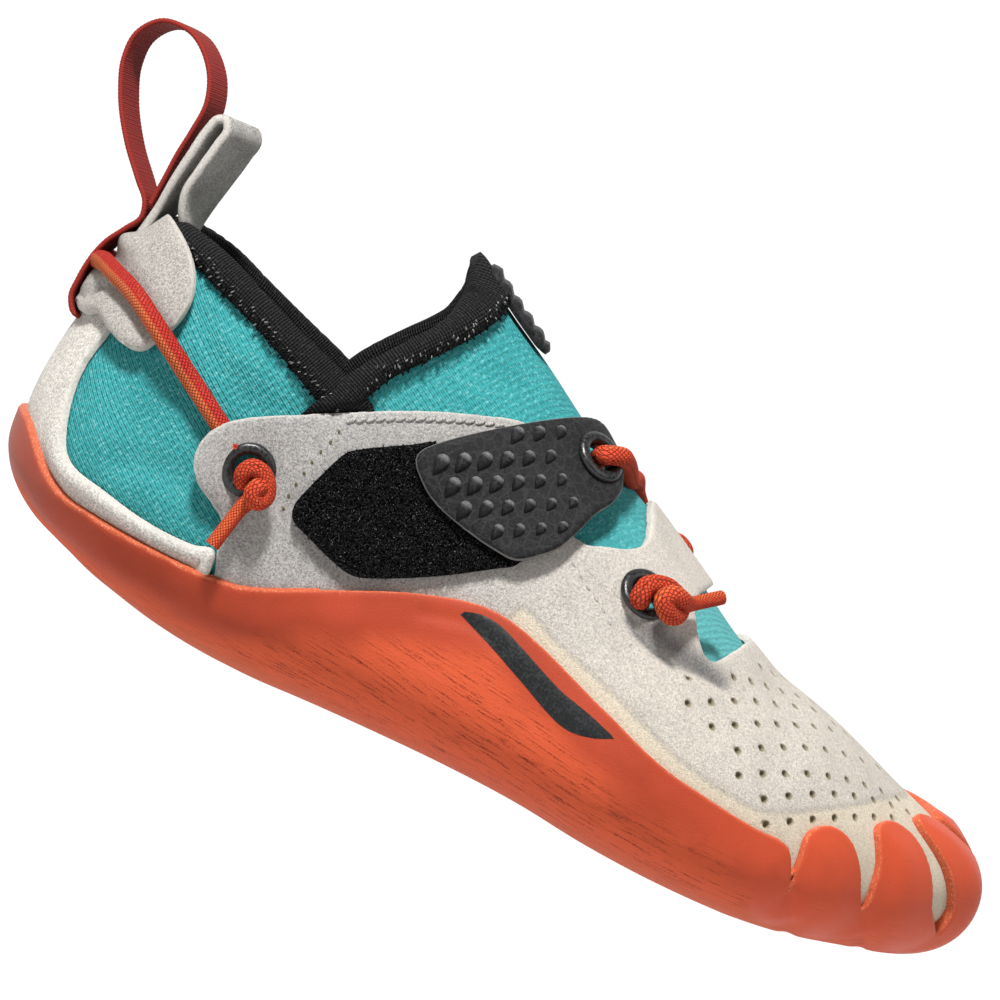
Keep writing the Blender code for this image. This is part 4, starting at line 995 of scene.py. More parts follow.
# Collar: the rear band, and the front band that climbs the tongue and laps over it
REAR_TOP = [
    (-20.0, 66.0), (10.0, 65.6), (14.8, 65.0), (21.8, 63.4), (30.0, 60.3), (37.6, 57.7), (44.8, 55.5),
    (50.0, 53.8), (56.0, 51.4),
]
REAR_LOW = [
    (56.0, 44.0), (50.0, 46.6), (45.2, 48.4), (36.7, 52.1), (29.0, 55.1), (22.0, 57.3), (14.8, 59.9),
    (10.0, 60.8), (-20.0, 61.0),
]
FRONT_TOP = [
    (42.6, 40.0), (44.9, 44.9), (47.3, 50.7), (50.1, 56.7), (54.6, 63.4), (58.7, 69.2), (60.4, 73.0),
    (60.9, 78.5), (59.8, 84.0), (59.4, 96.0),
]
FRONT_LOW = [
    (68.8, 96.0), (68.6, 80.0), (68.0, 75.3), (65.2, 69.8), (60.5, 63.4), (55.9, 57.1), (53.2, 50.7),
    (51.2, 45.0), (50.4, 40.0),
]
BAND_VIEW = 0.7
OPEN_ABOVE, MOUTH_REACH = 150.0, 90.0
Band = namedtuple("Band", "name top low half swell lift")
BANDS = [
    Band("collar_rear", REAR_TOP, REAR_LOW, 3.2, 1.7, 0.3),
    Band("collar_front", FRONT_TOP, FRONT_LOW, 4.0, 1.9, 1.1),
]


def outline(rows, distance):
    """Signed distance inside a smooth closed outline, as it is seen at a distance from the last."""
    return outline_field(seen_at(distance), smooth_line(rows))


def outer_outline(rows, distance):
    """The same on the outer side only."""
    return np.where(ON_OUTER, outline(rows, distance), OUTSIDE)


def mouth_field():
    """Positive where the shoe is open: above the rear band and behind the front band."""
    rear = smooth_line(REAR_TOP[:-1], closed=False)
    front = smooth_line(FRONT_TOP[3:], closed=False)
    corners = [(FRONT_TOP[-1][0], OPEN_ABOVE), (REAR_TOP[0][0], OPEN_ABOVE)]
    return outline_field(seen_at(BAND_VIEW), np.concatenate([rear, front, corners]), MOUTH_REACH)


MOUTH_FIELD = mouth_field()


def build_collar():
    """Two padded bands with a round section. The front one lies over the rear one where they cross."""
    view = seen_at(BAND_VIEW)
    shown = 1 - step_up(outline(SUEDE_LINE, SUEDE_OUTER), -1.6, 0.4)
    thinner = 1 - 0.55 * step_up(view[:, 1], 72, 82)
    for name, top, low, half, swell, lift in BANDS:
        low_line = smooth_line(low, closed=False)
        field = outline_field(view, np.concatenate([smooth_line(top, closed=False), low_line]))
        bulge = np.sqrt(1 - (1 - np.clip(field / half, 0, 1)) ** 2)
        inner = -0.5 - swell * bulge * shown
        outer = (lift + 0.2 + swell * bulge) * shown * thinner
        from_low = line_distance(view, low_line, False)
        values = dict(SHARED, low=from_low, along=along_line(view, low_line))
        panel(name, field, inner, outer, BAND, ["collar_binding"], (0.0, 0.5), values)


SOCK_FOLDS = [
    (-0.8, [(33.0, 46.0), (38.0, 43.2), (45.0, 44.6)], 2.0), (0.5, (26.0, 47.5), 7.0, 3.5, -30),
    (-0.7, [(20.0, 22.0), (27.0, 24.5), (33.0, 24.0)], 2.4),
    (-0.5, [(70.0, 66.0), (78.0, 66.5), (84.0, 64.0)], 2.2),
    (-0.8, [(21.5, 50.5), (27.0, 46.5), (33.5, 42.8), (36.0, 41.0)], 1.7),
    (0.5, (31.5, 48.4), 7.0, 2.4, -30),
]


def build_sock():
    """The knit sock from under the insole up into the collar, with soft folds at heel and instep."""
    field = np.minimum(-MOUTH_FIELD - 2.0, (GRID_ANGLE + 72) * 0.6)
    outer = relief(seen_at(0.0), SOCK_FOLDS)
    panel(
        "sock_knit", field, SOCK_INNER, outer, KNIT, ["sock_upper"],
        (0.2, 0.5), SHARED, quads=COARSE_QUADS,
    )


# Suede: the outline of quarters, bridge and vamp, and the window in front of the bridge
SUEDE_LINE = [
    (44.6, 4.0, "corner"), (44.0, 12.4), (42.5, 16.4), (41.2, 21.0), (38.1, 23.3), (34.6, 25.3),
    (32.3, 28.0), (31.5, 31.4), (32.3, 34.8), (34.5, 37.8), (38.5, 40.8), (45.1, 44.6), (50.7, 47.9),
    (59.9, 53.0), (67.9, 56.9), (74.4, 59.5), (79.5, 61.3), (82.4, 61.0), (86.0, 58.0), (90.6, 52.0),
    (95.0, 48.4), (99.3, 47.2), (103.0, 48.3), (108.0, 50.6), (109.2, 52.8), (108.4, 56.0),
    (107.0, 59.0), (106.6, 64.0), (106.4, 120.0, "corner"), (230.0, 120.0, "corner"),
    (230.0, 3.0, "corner"), (150.0, 3.0),
]
WINDOW = [
    (124.4, 80.0, "corner"), (124.2, 54.0), (122.6, 50.2), (121.3, 47.4), (122.4, 44.4), (124.9, 41.2),
    (127.4, 39.2), (129.3, 39.0), (131.0, 41.2), (133.0, 44.8), (134.0, 49.0), (134.4, 80.0, "corner"),
]
GLUE_LINE = [
    (94.0, 31.0), (104.0, 29.2), (114.0, 26.6), (124.0, 23.4), (132.0, 20.9), (140.5, 19.7),
    (148.6, 19.6), (154.8, 22.6), (162.2, 27.6), (169.9, 33.5), (180.0, 37.5), (240.0, 38.0, "corner"),
    (240.0, -20.0, "corner"), (94.0, -20.0, "corner"),
]
EYELETS = {
    "eyelet_heel_outer": (41.0, 31.5, -1, 1.0),
    "eyelet_heel_inner": (41.0, 31.5, 1, 1.0),
    "eyelet_vamp_outer": (113.1, 43.9, -1, 1.0),
    "eyelet_vamp_inner": (116.0, 50.0, 1, 0.0),
}
EYELET_HOLE, EYELET_ROOM = 2.75, 0.3


def quarter_lift(view):
    """How far the rear tip of the quarter stands off the sock, over the heel cord."""
    return 2.6 * (1 - step_up(view[:, 0], 32, 47)) * step_up(view[:, 1], 19, 27)


def frayed(depth):
    """Small waves of a cut suede edge, of either sign."""
    waves = np.sin(GRID_RUN * 2.3 + np.sin(GRID_CLIMB * 1.7) * 2)
    return 0.5 * depth * (waves + np.sin(GRID_CLIMB * 2.9 - GRID_RUN * 1.3))


def around_eyelet(x, height, distance, side=-1):
    """Distance outside the hole for an eyelet, at a distance from the last."""
    centre = spot(x, height, distance, side).point
    gap = np.linalg.norm(POINTS + NORMALS * distance - centre, axis=1)
    return gap - EYELET_HOLE - EYELET_ROOM


# The fold below the vamp eyelet: the bridge stands up over this line, with painted shadow under it
FOLD = [
    (110.0, 40.6), (112.6, 38.8), (116.1, 36.9), (119.8, 36.0), (123.4, 35.6), (128.0, 36.0),
    (134.0, 35.7),
]
FOLD_SHADOW_LINE = [
    (116.4, 38.4), (119.6, 38.0), (123.4, 37.6), (127.0, 37.2), (131.6, 36.0),
]
LASTING_LAP = 5.0
FRAY = 0.09
SUEDE_CREASES = [
    (-0.35, [(52.0, 30.0), (60.0, 24.0), (70.0, 25.0)], 2.0),
    (-0.4, [(122.0, 38.0), (128.0, 33.0), (136.0, 30.0)], 2.6),
    (-0.3, [(140.0, 41.0), (146.0, 35.0), (150.0, 27.0)], 3.0), (0.35, (153.0, 30.0), 9.0, 6.0, -20),
]


def build_suede():
    """Quarters, bridge and vamp in one shell, with eyelet holes, glue marks and soft creases."""
    view = seen_at(SUEDE_OUTER)
    field = np.minimum(outline(SUEDE_LINE, SUEDE_OUTER), -outline(WINDOW, SUEDE_OUTER))
    field = np.minimum(field + frayed(FRAY), LASTING_LAP - RUBBER_FIELD)
    for x, height, side, _ in EYELETS.values():
        field = np.minimum(field, around_eyelet(x, height, SUEDE_OUTER, side))
    lift = quarter_lift(view)
    soft = relief(view, SUEDE_CREASES)
    above_fold = view[:, 1] - np.interp(view[:, 0], *np.transpose(FOLD))
    bridge = hill(view, (117.0, 43.0), 10.0, 6.5, -10) * step_up(above_fold, -0.3, 1.8)
    soft += 1.5 * ON_OUTER * bridge
    soft -= 0.6 * ON_OUTER * trough(view, FOLD[1:], 1.2)
    # Painted shadow below the fold, and painted shade along its crease
    fold_shadow = trough(view, FOLD_SHADOW_LINE, 2.2) * step_up(above_fold, -0.5, 0.5)
    fold_shadow = ON_OUTER * np.maximum(fold_shadow, trough(view, FOLD[1:5], 0.7))
    glue = outline_field(view, smooth_line(GLUE_LINE))
    values = dict(SHARED, glue=glue, fold_shadow=fold_shadow, hole=np.zeros(len(POINTS)))
    shell = panel(
        "suede_shell", field, SUEDE_INNER + lift, SUEDE_OUTER + lift + soft, SUEDE,
        ["suede_upper"], (0.45, 0.6), values,
    )
    punch(shell, punch_centres())


# Punched holes of the vamp, as the picture shows them: where each row starts, its count, its first and
# last step to the right, and its first and last step up
PUNCH_ROWS = [
    ((137.1, 42.0), 3, (2.2, 2.0), (-1.0, -1.0)),
    ((126.7, 35.0), 1, (4.0, 4.0), (0.0, 0.0)),
    ((133.7, 38.1), 6, (3.06, 2.4), (-0.65, -1.0)),
    ((128.7, 30.5), 8, (4.15, 3.0), (0.3, -0.9)),
    ((134.4, 28.8), 8, (4.03, 2.6), (0.29, -0.6)),
    ((140.2, 27.0), 8, (4.14, 2.9), (0.44, -1.25)),
    ((142.4, 23.2), 9, (4.17, 2.8), (0.29, -1.3)),
    ((148.3, 21.5), 9, (4.29, 2.7), (0.58, -1.5)),
    ((150.6, 17.7), 7, (4.2, 3.2), (0.5, -0.1)),
]
PUNCH_RADIUS, PUNCH_DEPTH, PUNCH_GAP = 0.58, 0.8, 2.2
PUNCH_FINER = (1.4, 1.0)  # how far round a hole the mesh is made finer, once and again
PUNCH_REACH, PUNCH_BELOW = 1.2, 0.7  # how far from its middle a hole moves the mesh, and how far below
PUNCH_OFF = 0.4  # a hole further than this from the seen surface is left out


def punch(piece, centres):
    """Pushes small round holes into a shown panel, on a locally finer mesh."""
    mesh = bmesh.new()
    mesh.from_mesh(piece.data)
    layer = mesh.verts.layers.float["hole"]
    mid = [Vector(world(place.point)) for place in centres]
    tree = KDTree(len(mid))
    for i, point in enumerate(mid):
        tree.insert(point, i)
    tree.balance()
    for reach in PUNCH_FINER:
        near = {v for v in mesh.verts if tree.find(v.co)[2] < reach * MM}
        edges = [e for e in mesh.edges if e.verts[0] in near and e.verts[1] in near]
        bmesh.ops.subdivide_edges(mesh, edges=edges, cuts=1, use_grid_fill=True)
    for v in mesh.verts:
        _, i, gap = tree.find(v.co)
        if gap > PUNCH_REACH * MM:
            continue
        out = Vector(centres[i].normal)
        offset = v.co - mid[i]
        height = offset.dot(out)
        if height < -PUNCH_BELOW * MM:
            continue
        flat = (offset - out * height).length / MM
        share = 1 - float(step_up(flat, PUNCH_RADIUS * 0.75, PUNCH_RADIUS * 1.25))
        v.co -= out * PUNCH_DEPTH * share * MM
        v[layer] = max(v[layer], 1 - float(step_up(flat, PUNCH_RADIUS * 0.9, PUNCH_RADIUS * 1.5)))
    mesh.to_mesh(piece.data)
    mesh.free()
    piece.data.shade_smooth()


def punch_centres():
    """Places of the punched holes on both sides, as far as the rows stay on the seen surface."""
    right = np.array([math.cos(VIEW_ROLL), math.sin(VIEW_ROLL)])
    up = np.array([-right[1], right[0]])
    view = seen_at(SUEDE_OUTER)
    centres = []
    for start, count, steps, climbs in PUNCH_ROWS:
        across = np.concatenate([[0], np.cumsum(np.linspace(*steps, count - 1))])
        rise = np.concatenate([[0], np.cumsum(np.linspace(*climbs, count - 1))])
        for place in np.array(start) + across[:, None] * right + rise[:, None] * up:
            if np.hypot(*(view - place).T).min() > PUNCH_OFF:
                continue
            for side in (-1, 1):
                found = spot(*place, SUEDE_OUTER, side)
                if all(np.linalg.norm(found.point - other.point) > PUNCH_GAP for other in centres):
                    centres.append(found)
    return centres


HEEL_BAND_LINE = [
    (-20.0, 46.0, "corner"), (3.0, 46.0), (7.4, 44.8), (7.2, 41.8), (6.2, 36.3), (6.2, 31.2),
    (7.4, 25.6), (9.1, 21.2), (10.6, 19.0), (13.2, 17.3), (19.4, 16.2), (26.9, 14.9), (32.9, 14.6),
    (38.6, 15.0), (42.0, 15.9), (43.2, 12.0), (43.4, 4.0, "corner"), (-20.0, 4.0, "corner"),
]
SADDLE_LINE = [
    (-20.0, 44.4, "corner"), (0.4, 44.0), (1.8, 43.0), (4.1, 44.2), (8.2, 42.1), (11.7, 41.1),
    (14.3, 41.7), (15.8, 44.0), (17.4, 47.4), (18.2, 51.0), (18.0, 54.4), (16.8, 57.6), (14.5, 60.6),
    (11.4, 63.1), (8.0, 65.2, "corner"), (6.0, 61.4), (3.6, 58.0), (0.8, 54.0), (-1.5, 52.8),
    (-20.0, 52.8, "corner"),
]
PATCH_LINE = [
    (51.0, 29.2), (51.4, 32.0), (54.2, 40.6), (55.6, 42.9), (65.7, 49.5), (68.0, 51.0), (80.0, 50.0),
    (92.0, 44.0), (90.6, 38.6), (88.4, 36.8), (78.0, 29.5), (67.6, 23.8), (64.0, 23.4), (54.4, 26.2),
    (52.0, 27.2),
]
TAB_LINE = [
    (67.4, 45.4), (66.3, 47.4), (67.2, 49.6), (72.8, 55.1), (82.6, 62.9), (89.6, 67.4), (92.6, 68.0),
    (95.5, 66.6), (98.9, 63.8), (101.2, 59.6), (101.0, 56.4), (99.2, 53.2), (97.6, 48.4), (95.8, 44.4),
    (93.0, 41.4), (90.6, 39.5), (88.4, 39.0), (80.7, 39.7), (72.4, 41.8),
]
TAB_EYELET = (95.0, 61.8)
BADGE_LINE = [
    (85.1, 26.3, "corner"), (88.8, 27.6), (92.8, 27.5), (97.6, 25.9), (107.4, 22.2), (114.1, 20.7),
    (120.1, 19.0, "corner"), (116.8, 17.4), (112.8, 16.5), (109.1, 17.0), (100.4, 20.5), (92.9, 23.5),
    (88.1, 25.2),
]


def heel_cord_height(x):
    """Height of the cord that runs round the heel, at each x."""
    return 55.3 - 0.575 * x


SADDLE_HILLS = [
    (0.5, (1.0, 47.0), 1.6, 3.0, 30), (-1.3, [(1.4, 45.4), (2.6, 47.4), (4.0, 49.6)], 0.7),
    (1.6, (4.4, 57.4), 2.4, 2.0), (1.0, (0.8, 50.2), 1.8, 1.8), (0.5, (9.0, 61.5), 3.0, 3.0),
]
CORD_GROOVE, GROOVE_DEPTH = 2.4, 0.9


def build_heel_suede():
    """The band low round the heel, and the saddle with a groove for the cord."""
    field = outline(HEEL_BAND_LINE, SUEDE_OUTER)
    thick = 0.9 * (1 - step_up(field, 1.0, 3.2)) * step_up(RUBBER_FIELD, -8, -1.5)
    panel(
        "heel_band_suede", field, SUEDE_INNER, SUEDE_OUTER + thick, PLAIN_SUEDE,
        ["heel_band"], (0.4, 0.5), SHARED,
    )
    view = seen_at(SADDLE_OUTER)
    groove = np.exp(-(((view[:, 1] - heel_cord_height(view[:, 0])) / CORD_GROOVE) ** 2))
    outer = SADDLE_OUTER + 0.5 - GROOVE_DEPTH * groove + relief(view, SADDLE_HILLS)
    panel(
        "heel_saddle_suede", outline(SADDLE_LINE, SADDLE_OUTER), SADDLE_INNER, outer, SADDLE_SUEDE,
        ["heel_saddle"], (0.6, 0.9), SHARED,
    )


def build_closure():
    """The closure patch, and the strap tab with its eyelet hole."""
    panel(
        "loop_patch_pile", outer_outline(PATCH_LINE, PATCH_OUTER), PATCH_INNER, PATCH_OUTER, PILE,
        ["loop_patch"], (0.5, 0.9), SHARED,
    )
    tab = np.minimum(outer_outline(TAB_LINE, STRAP_OUTER), around_eyelet(*TAB_EYELET, STRAP_OUTER))
    panel(
        "strap_tab_rubber", tab, STRAP_INNER, STRAP_SEAT, GRIP, ["strap_tab"],
        (0.4, 0.6), SHARED,
    )


TONGUE_MIDDLE, TONGUE_CORNER = 69.8, 2.4
TONGUE_HALF_LENGTH, TONGUE_HALF_WIDTH = 7.9, 5.0
TONGUE_LOWEST_ANGLE = 30
SCALLOP_FROM, SCALLOP_PITCH, SCALLOP_HEIGHT = 61.5, 2.9, 0.75


def build_tongue_patch():
    """The scalloped rubber patch at the top of the tongue, with round corners."""
    x, across = POINTS[:, 0], POINTS[:, 1] - SPINE_Y
    past_end = np.abs(x - TONGUE_MIDDLE) - TONGUE_HALF_LENGTH + TONGUE_CORNER
    past_side = np.abs(across) - TONGUE_HALF_WIDTH + TONGUE_CORNER
    field = TONGUE_CORNER - np.hypot(np.maximum(past_end, 0), np.maximum(past_side, 0))
    field = np.where(GRID_ANGLE > TONGUE_LOWEST_ANGLE, field, OUTSIDE)
    scallops = SCALLOP_HEIGHT * np.abs(np.sin((x - SCALLOP_FROM) * math.pi / SCALLOP_PITCH))
    outer = TONGUE_PATCH_OUTER - 0.2 + scallops * step_up(field, 0, 1.2)
    panel(
        "tongue_patch_rubber", field, TONGUE_PATCH_INNER, outer, TONGUE_GRIP,
        ["tongue_patch"], (0.3, 0.5), SHARED,
    )


def lathe(profile, count=48):
    """A ring from a closed profile of radius and height: points in its own axes, and faces."""
    turns = np.arange(count) * 2 * math.pi / count
    rows = len(profile)
    points = [(r * math.cos(a), r * math.sin(a), h) for a in turns for r, h in profile]
    faces = []
    for i in range(count):
        for j in range(rows):
            a, b = i * rows, (i + 1) % count * rows
            k = (j + 1) % rows
            faces.append((a + j, b + j, b + k, a + k))
    return np.array(points), faces


EYELET_PROFILE = [
    (4.8, 0.0), (4.86, 0.3), (4.7, 0.7), (4.3, 0.98), (3.7, 1.08), (3.2, 0.98), (2.88, 0.7),
    (2.75, 0.3), (2.75, -1.2), (3.05, -1.2), (3.2, -0.1),
]


EYELET_AHEAD = np.array([1.0, 0.2, 0.3])


def axes_at(place, ahead):
    """Three axes at a place of the surface: ahead along it, across, and out of it."""
    ahead = ahead - place.normal * (ahead @ place.normal)
    ahead /= np.linalg.norm(ahead)
    return np.stack([ahead, np.cross(place.normal, ahead), place.normal])


def build_eyelets():
    """Five enamelled rings."""
    points, faces = lathe(EYELET_PROFILE)
    rows = [(node, x, h, side, SUEDE_OUTER + lift) for node, (x, h, side, lift) in EYELETS.items()]
    rows.append(("eyelet_strap_tab", *TAB_EYELET, -1, STRAP_SEAT))
    for node, x, height, side, seat in rows:
        place = spot(x, height, seat, side)
        turned_points = place.point + points @ axes_at(place, EYELET_AHEAD)
        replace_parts(new_piece(node + "_ring", turned_points, faces, ENAMEL), node)


def curve(rows, step=0.17):
    """Points at even steps along a smooth line through rows, whose first three columns are places."""
    rows = np.array(rows, float)
    knots = np.concatenate([[0], np.cumsum(np.linalg.norm(np.diff(rows[:, :3], axis=0), axis=1))])
    return spline(knots, rows, np.linspace(0, knots[-1], max(int(knots[-1] / step), 2)))


AROUND = 44
BRAID_BASE, BRAID_RELIEF = 0.95, 0.06  # shares of a cord's radius
SLANTING = (0.31, 0.52, 0.79)  # a direction that no knot starts in
HIGHEST_ANGLE, SECTION_STEPS = 88, 240


def tube(path, radii, outward):
    """A braided round cord along a path: points, faces, and where each point is along and around it."""
    tangents = np.gradient(path, axis=0)
    tangents /= np.linalg.norm(tangents, axis=1, keepdims=True)
    along = np.concatenate([[0], np.cumsum(np.linalg.norm(np.diff(path, axis=0), axis=1))])
    if outward is None:
        outward = np.zeros_like(path)
        outward[0] = np.cross(tangents[0], SLANTING)
        for i in range(1, len(path)):
            outward[i] = outward[i - 1] - tangents[i] * (outward[i - 1] @ tangents[i])
    sideways = np.cross(tangents, outward)
    sideways /= np.linalg.norm(sideways, axis=1, keepdims=True)
    outward = np.cross(sideways, tangents)
    turns = np.arange(AROUND) / AROUND
    angle = turns * 2 * math.pi
    phase = along[:, None] * BRAID_RATE
    strands = [np.abs(np.sin(0.5 * (phase + turn * angle * BRAID_STRANDS))) for turn in (1, -1)]
    reach = radii[:, None] * (BRAID_BASE + BRAID_RELIEF * np.minimum(*strands))
    ring = np.cos(angle)[:, None] * sideways[:, None] + np.sin(angle)[:, None] * outward[:, None]
    points = (path[:, None] + ring * reach[:, :, None]).reshape(-1, 3)
    faces = []
    for i in range(len(path) - 1):
        for j in range(AROUND):
            k = (j + 1) % AROUND
            faces.append((i * AROUND + j, i * AROUND + k, (i + 1) * AROUND + k, (i + 1) * AROUND + j))
    faces.append(list(range(AROUND))[::-1])
    faces.append([(len(path) - 1) * AROUND + j for j in range(AROUND)])
    values = {"along": np.repeat(along, AROUND), "around": np.tile(turns, len(path))}
    return points, faces, values


def surface(run, angle, distance):
    """Place by running length, section angle and distance from the last, and the direction out there."""
    runs = np.array([run, run + 0.2, run - 0.2, run, run])
    angles = np.array([angle, angle, angle, angle + 0.3, angle - 0.3])
    near = last_points(runs, angles)
    normal = np.cross(near[1] - near[2], near[3] - near[4])
    normal /= np.linalg.norm(normal)
    return np.concatenate([near[0] + normal * distance, normal])


def surface_at_height(run, height, distance):
    """The same at a height instead of an angle."""
    angles = np.linspace(LOWEST_ANGLE, HIGHEST_ANGLE, SECTION_STEPS)
    heights = last_points(np.full(SECTION_STEPS, run), angles)[:, 2]
    return surface(run, float(np.interp(height, heights, angles)), distance)


# The cord over the instep: first as it is seen, with its y, then by x, section angle, side and distance
INSTEP_START = [
    (94.8, 61.0, -11.0), (95.0, 61.8, -15.5), (95.8, 62.7, -19.0), (97.8, 63.5, -18.0),
    (99.4, 63.2, -13.0), (100.7, 61.9, -7.0), (101.5, 60.8, -1.5),
]
INSTEP_CORD = [
    (102.3, 83, 1, 1.5), (104.0, 71, 1, 1.8), (108.0, 62, 1, 3.2), (112.3, 63, 1, 3.4),
    (114.8, 67, 1, 3.5), (116.0, 67.5, 1, 3.2), (116.6, 66, 1, 2.0), (116.6, 65, 1, 0.6),
]


def point_at_depth(x, height, y):
    """The point with this y that is seen at x and height."""
    point = np.array([x, y, height])
    for _ in range(4):
        point[[0, 2]] += (x, height) - seen(point[None], y)[0]
    return point


HEEL_CORD_X = (3.4, 6.0, 10.0, 15.0, 20.0, 25.0, 30.0, 34.0, 37.6)
HEEL_CORD_BACK = 8.0  # up to here the cord is placed by running length, because it turns out of view
HEEL_BACK_X, HEEL_BACK_DROP = 2.6, 2.6  # the cord's middle at the back, and how far it sags there
CORD_SINK = 0.35  # how far a cord sinks into what it lies on
INSTEP_OUT = (0.0, -0.6, 0.8)


def heel_cord_half(side):
    """Places of the heel cord on one side, from the back to the eyelet, and the directions out there."""
    half = []
    for x in HEEL_CORD_X:
        over = SADDLE_OUTER + 0.1 + (1 - SADDLE_OUTER) * float(step_up(x, 16, 25))
        away = over - 0.5 * float(step_up(x, 28, 36)) + CORD_RADIUS - CORD_SINK
        height = heel_cord_height(x)
        if x < HEEL_CORD_BACK:
            height = height + 0.5 - 0.45 * (HEEL_CORD_BACK - x)
            half.append(surface_at_height(run_at(x, side), height, away))
        else:
            place = spot(x, height, away, side)
            half.append(np.concatenate([place.point, place.normal]))
    return half


def build_cord(name, rows, look, node):
    """A braided cord through rows of places and the directions out there."""
    path = curve(rows)
    points, faces, values = tube(path[:, :3], np.full(len(path), CORD_RADIUS), path[:, 3:])
    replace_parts(new_piece(name, points, faces, look, values), node)


def build_cords():
    """The cord round the heel and the cord over the instep, each from eyelet to eyelet."""
    height = heel_cord_height(HEEL_BACK_X) - HEEL_BACK_DROP
    back = surface_at_height(0.0, height, SADDLE_OUTER + 1.6)
    rows = heel_cord_half(-1)[::-1] + [back] + heel_cord_half(1)
    build_cord("heel_cord_braid", rows, CORD, "heel_cord")
    rows = [np.concatenate([point_at_depth(*row), INSTEP_OUT]) for row in INSTEP_START]
    rows += [surface(run_at(x, side), angle, away) for x, angle, side, away in INSTEP_CORD]
    build_cord("instep_cord_braid", rows, KNOT_CORD, "instep_cord")


# Knots: rows of right, up and out of the surface, as the picture shows them, from the eyelet's middle
HEEL_KNOT = [
    (0.4, -0.6, -2.2), (-0.5, -1.6, 0.4), (-0.9, -1.8, 2.0), (-0.6, -0.2, 3.3), (0.8, 0.6, 3.7),
    (2.5, -0.4, 3.5), (3.3, -2.5, 3.2), (2.9, -4.6, 3.4), (1.6, -5.2, 4.3), (0.8, -3.8, 5.0),
    (1.7, -2.7, 4.8), (2.2, -3.7, 3.1), (0.7, -4.7, 2.1), (-0.8, -6.0, 2.0), (-3.5, -9.3, 2.3),
    (-6.2, -12.8, 2.6),
]
VAMP_KNOT = [
    (0.4, 0.0, -2.2), (-1.5, -1.9, 0.4), (-2.2, -2.0, 2.4), (-1.6, -0.5, 3.5), (0.6, 0.1, 4.0),
    (2.9, -0.3, 4.0), (4.5, -1.5, 3.6), (4.9, -3.4, 3.2), (3.5, -4.8, 3.6), (1.5, -4.6, 4.6),
    (0.6, -3.4, 5.6), (1.7, -2.6, 6.1), (3.4, -2.5, 5.7), (5.2, -2.3, 4.4), (7.0, -1.6, 3.6),
    (10.2, 0.0, 3.2), (13.6, 1.6, 3.2),
]


HEEL_KNOT_RADIUS, HEEL_TAIL_FROM = 1.6, 0.76  # the tail starts at this share of the length
VAMP_KNOT_RADIUS, VAMP_TAIL_FROM = 1.85, 0.8


def build_knot(end, rows, radius, tail_from):
    """A knot on an eyelet: the cord comes out of the hole, wraps over itself and ends in a cut tail."""
    x, height, side, lift = EYELETS["eyelet_" + end]
    place = spot(x, height, SUEDE_OUTER + lift, side)
    path = curve([(right * -side, up, out) for right, up, out in rows], 0.22)
    share = np.linspace(0, 1, len(path))
    radii = radius - (radius - TAIL_RADIUS) * step_up(share, tail_from - 0.08, tail_from + 0.04)
    points, faces, values = tube(place.point + path @ axes_at(place, PICTURE_RIGHT), radii, None)
    node = "cord_end_" + end
    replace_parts(new_piece(node + "_knot", points, faces, KNOT_CORD, values), node)


def build_knots():
    """Knots on both heel eyelets and on the outer vamp eyelet."""
    for end in ("heel_outer", "heel_inner"):
        build_knot(end, HEEL_KNOT, HEEL_KNOT_RADIUS, HEEL_TAIL_FROM)
    build_knot("vamp_outer", VAMP_KNOT, VAMP_KNOT_RADIUS, VAMP_TAIL_FROM)


PULL_X = 6.0
PULL_TURN = math.radians(25)
TAB_FOOT = 60.2
PULL_TAB = [
    (5.4, 60.0), (7.2, 65.0), (8.9, 70.4), (9.8, 76.8), (10.5, 82.0), (11.3, 84.3), (12.5, 84.8),
    (13.5, 83.6), (13.2, 80.4), (12.3, 74.6), (11.7, 70.0), (12.0, 67.0), (12.8, 64.2), (13.6, 61.6),
]
TAB_HALF, TAB_THICK, TAB_TAPER = 7.2, 1.7, 0.22
WEBBING = [
    (3.8, 42.4, 0.0), (1.3, 42.6, 0.1), (0.0, 44.6, 0.3), (-0.1, 48.2, 0.45), (0.3, 52.0, 0.55),
    (1.4, 56.0, 0.6), (3.5, 59.8, 0.6), (5.2, 62.8, 0.7), (4.8, 65.4, 0.9), (2.2, 68.2, 1.0),
    (-2.8, 73.4, 1.0), (-7.6, 80.4, 1.0), (-9.8, 86.0, 1.0), (-9.8, 90.8, 1.0), (-6.8, 94.8, 1.0),
    (-1.4, 95.4, 1.0), (4.2, 91.4, 1.0), (6.8, 85.6, 1.0), (6.7, 80.0, 1.0), (6.3, 75.4, 1.0),
    (6.2, 70.6, 1.0), (6.0, 65.6, 1.0),
]
WEBBING_HALF, WEBBING_THICK = 4.4, 0.9
WEBBING_TURN = math.radians(21)
RIB_PITCH = 0.7
TAPER_LENGTH = 18


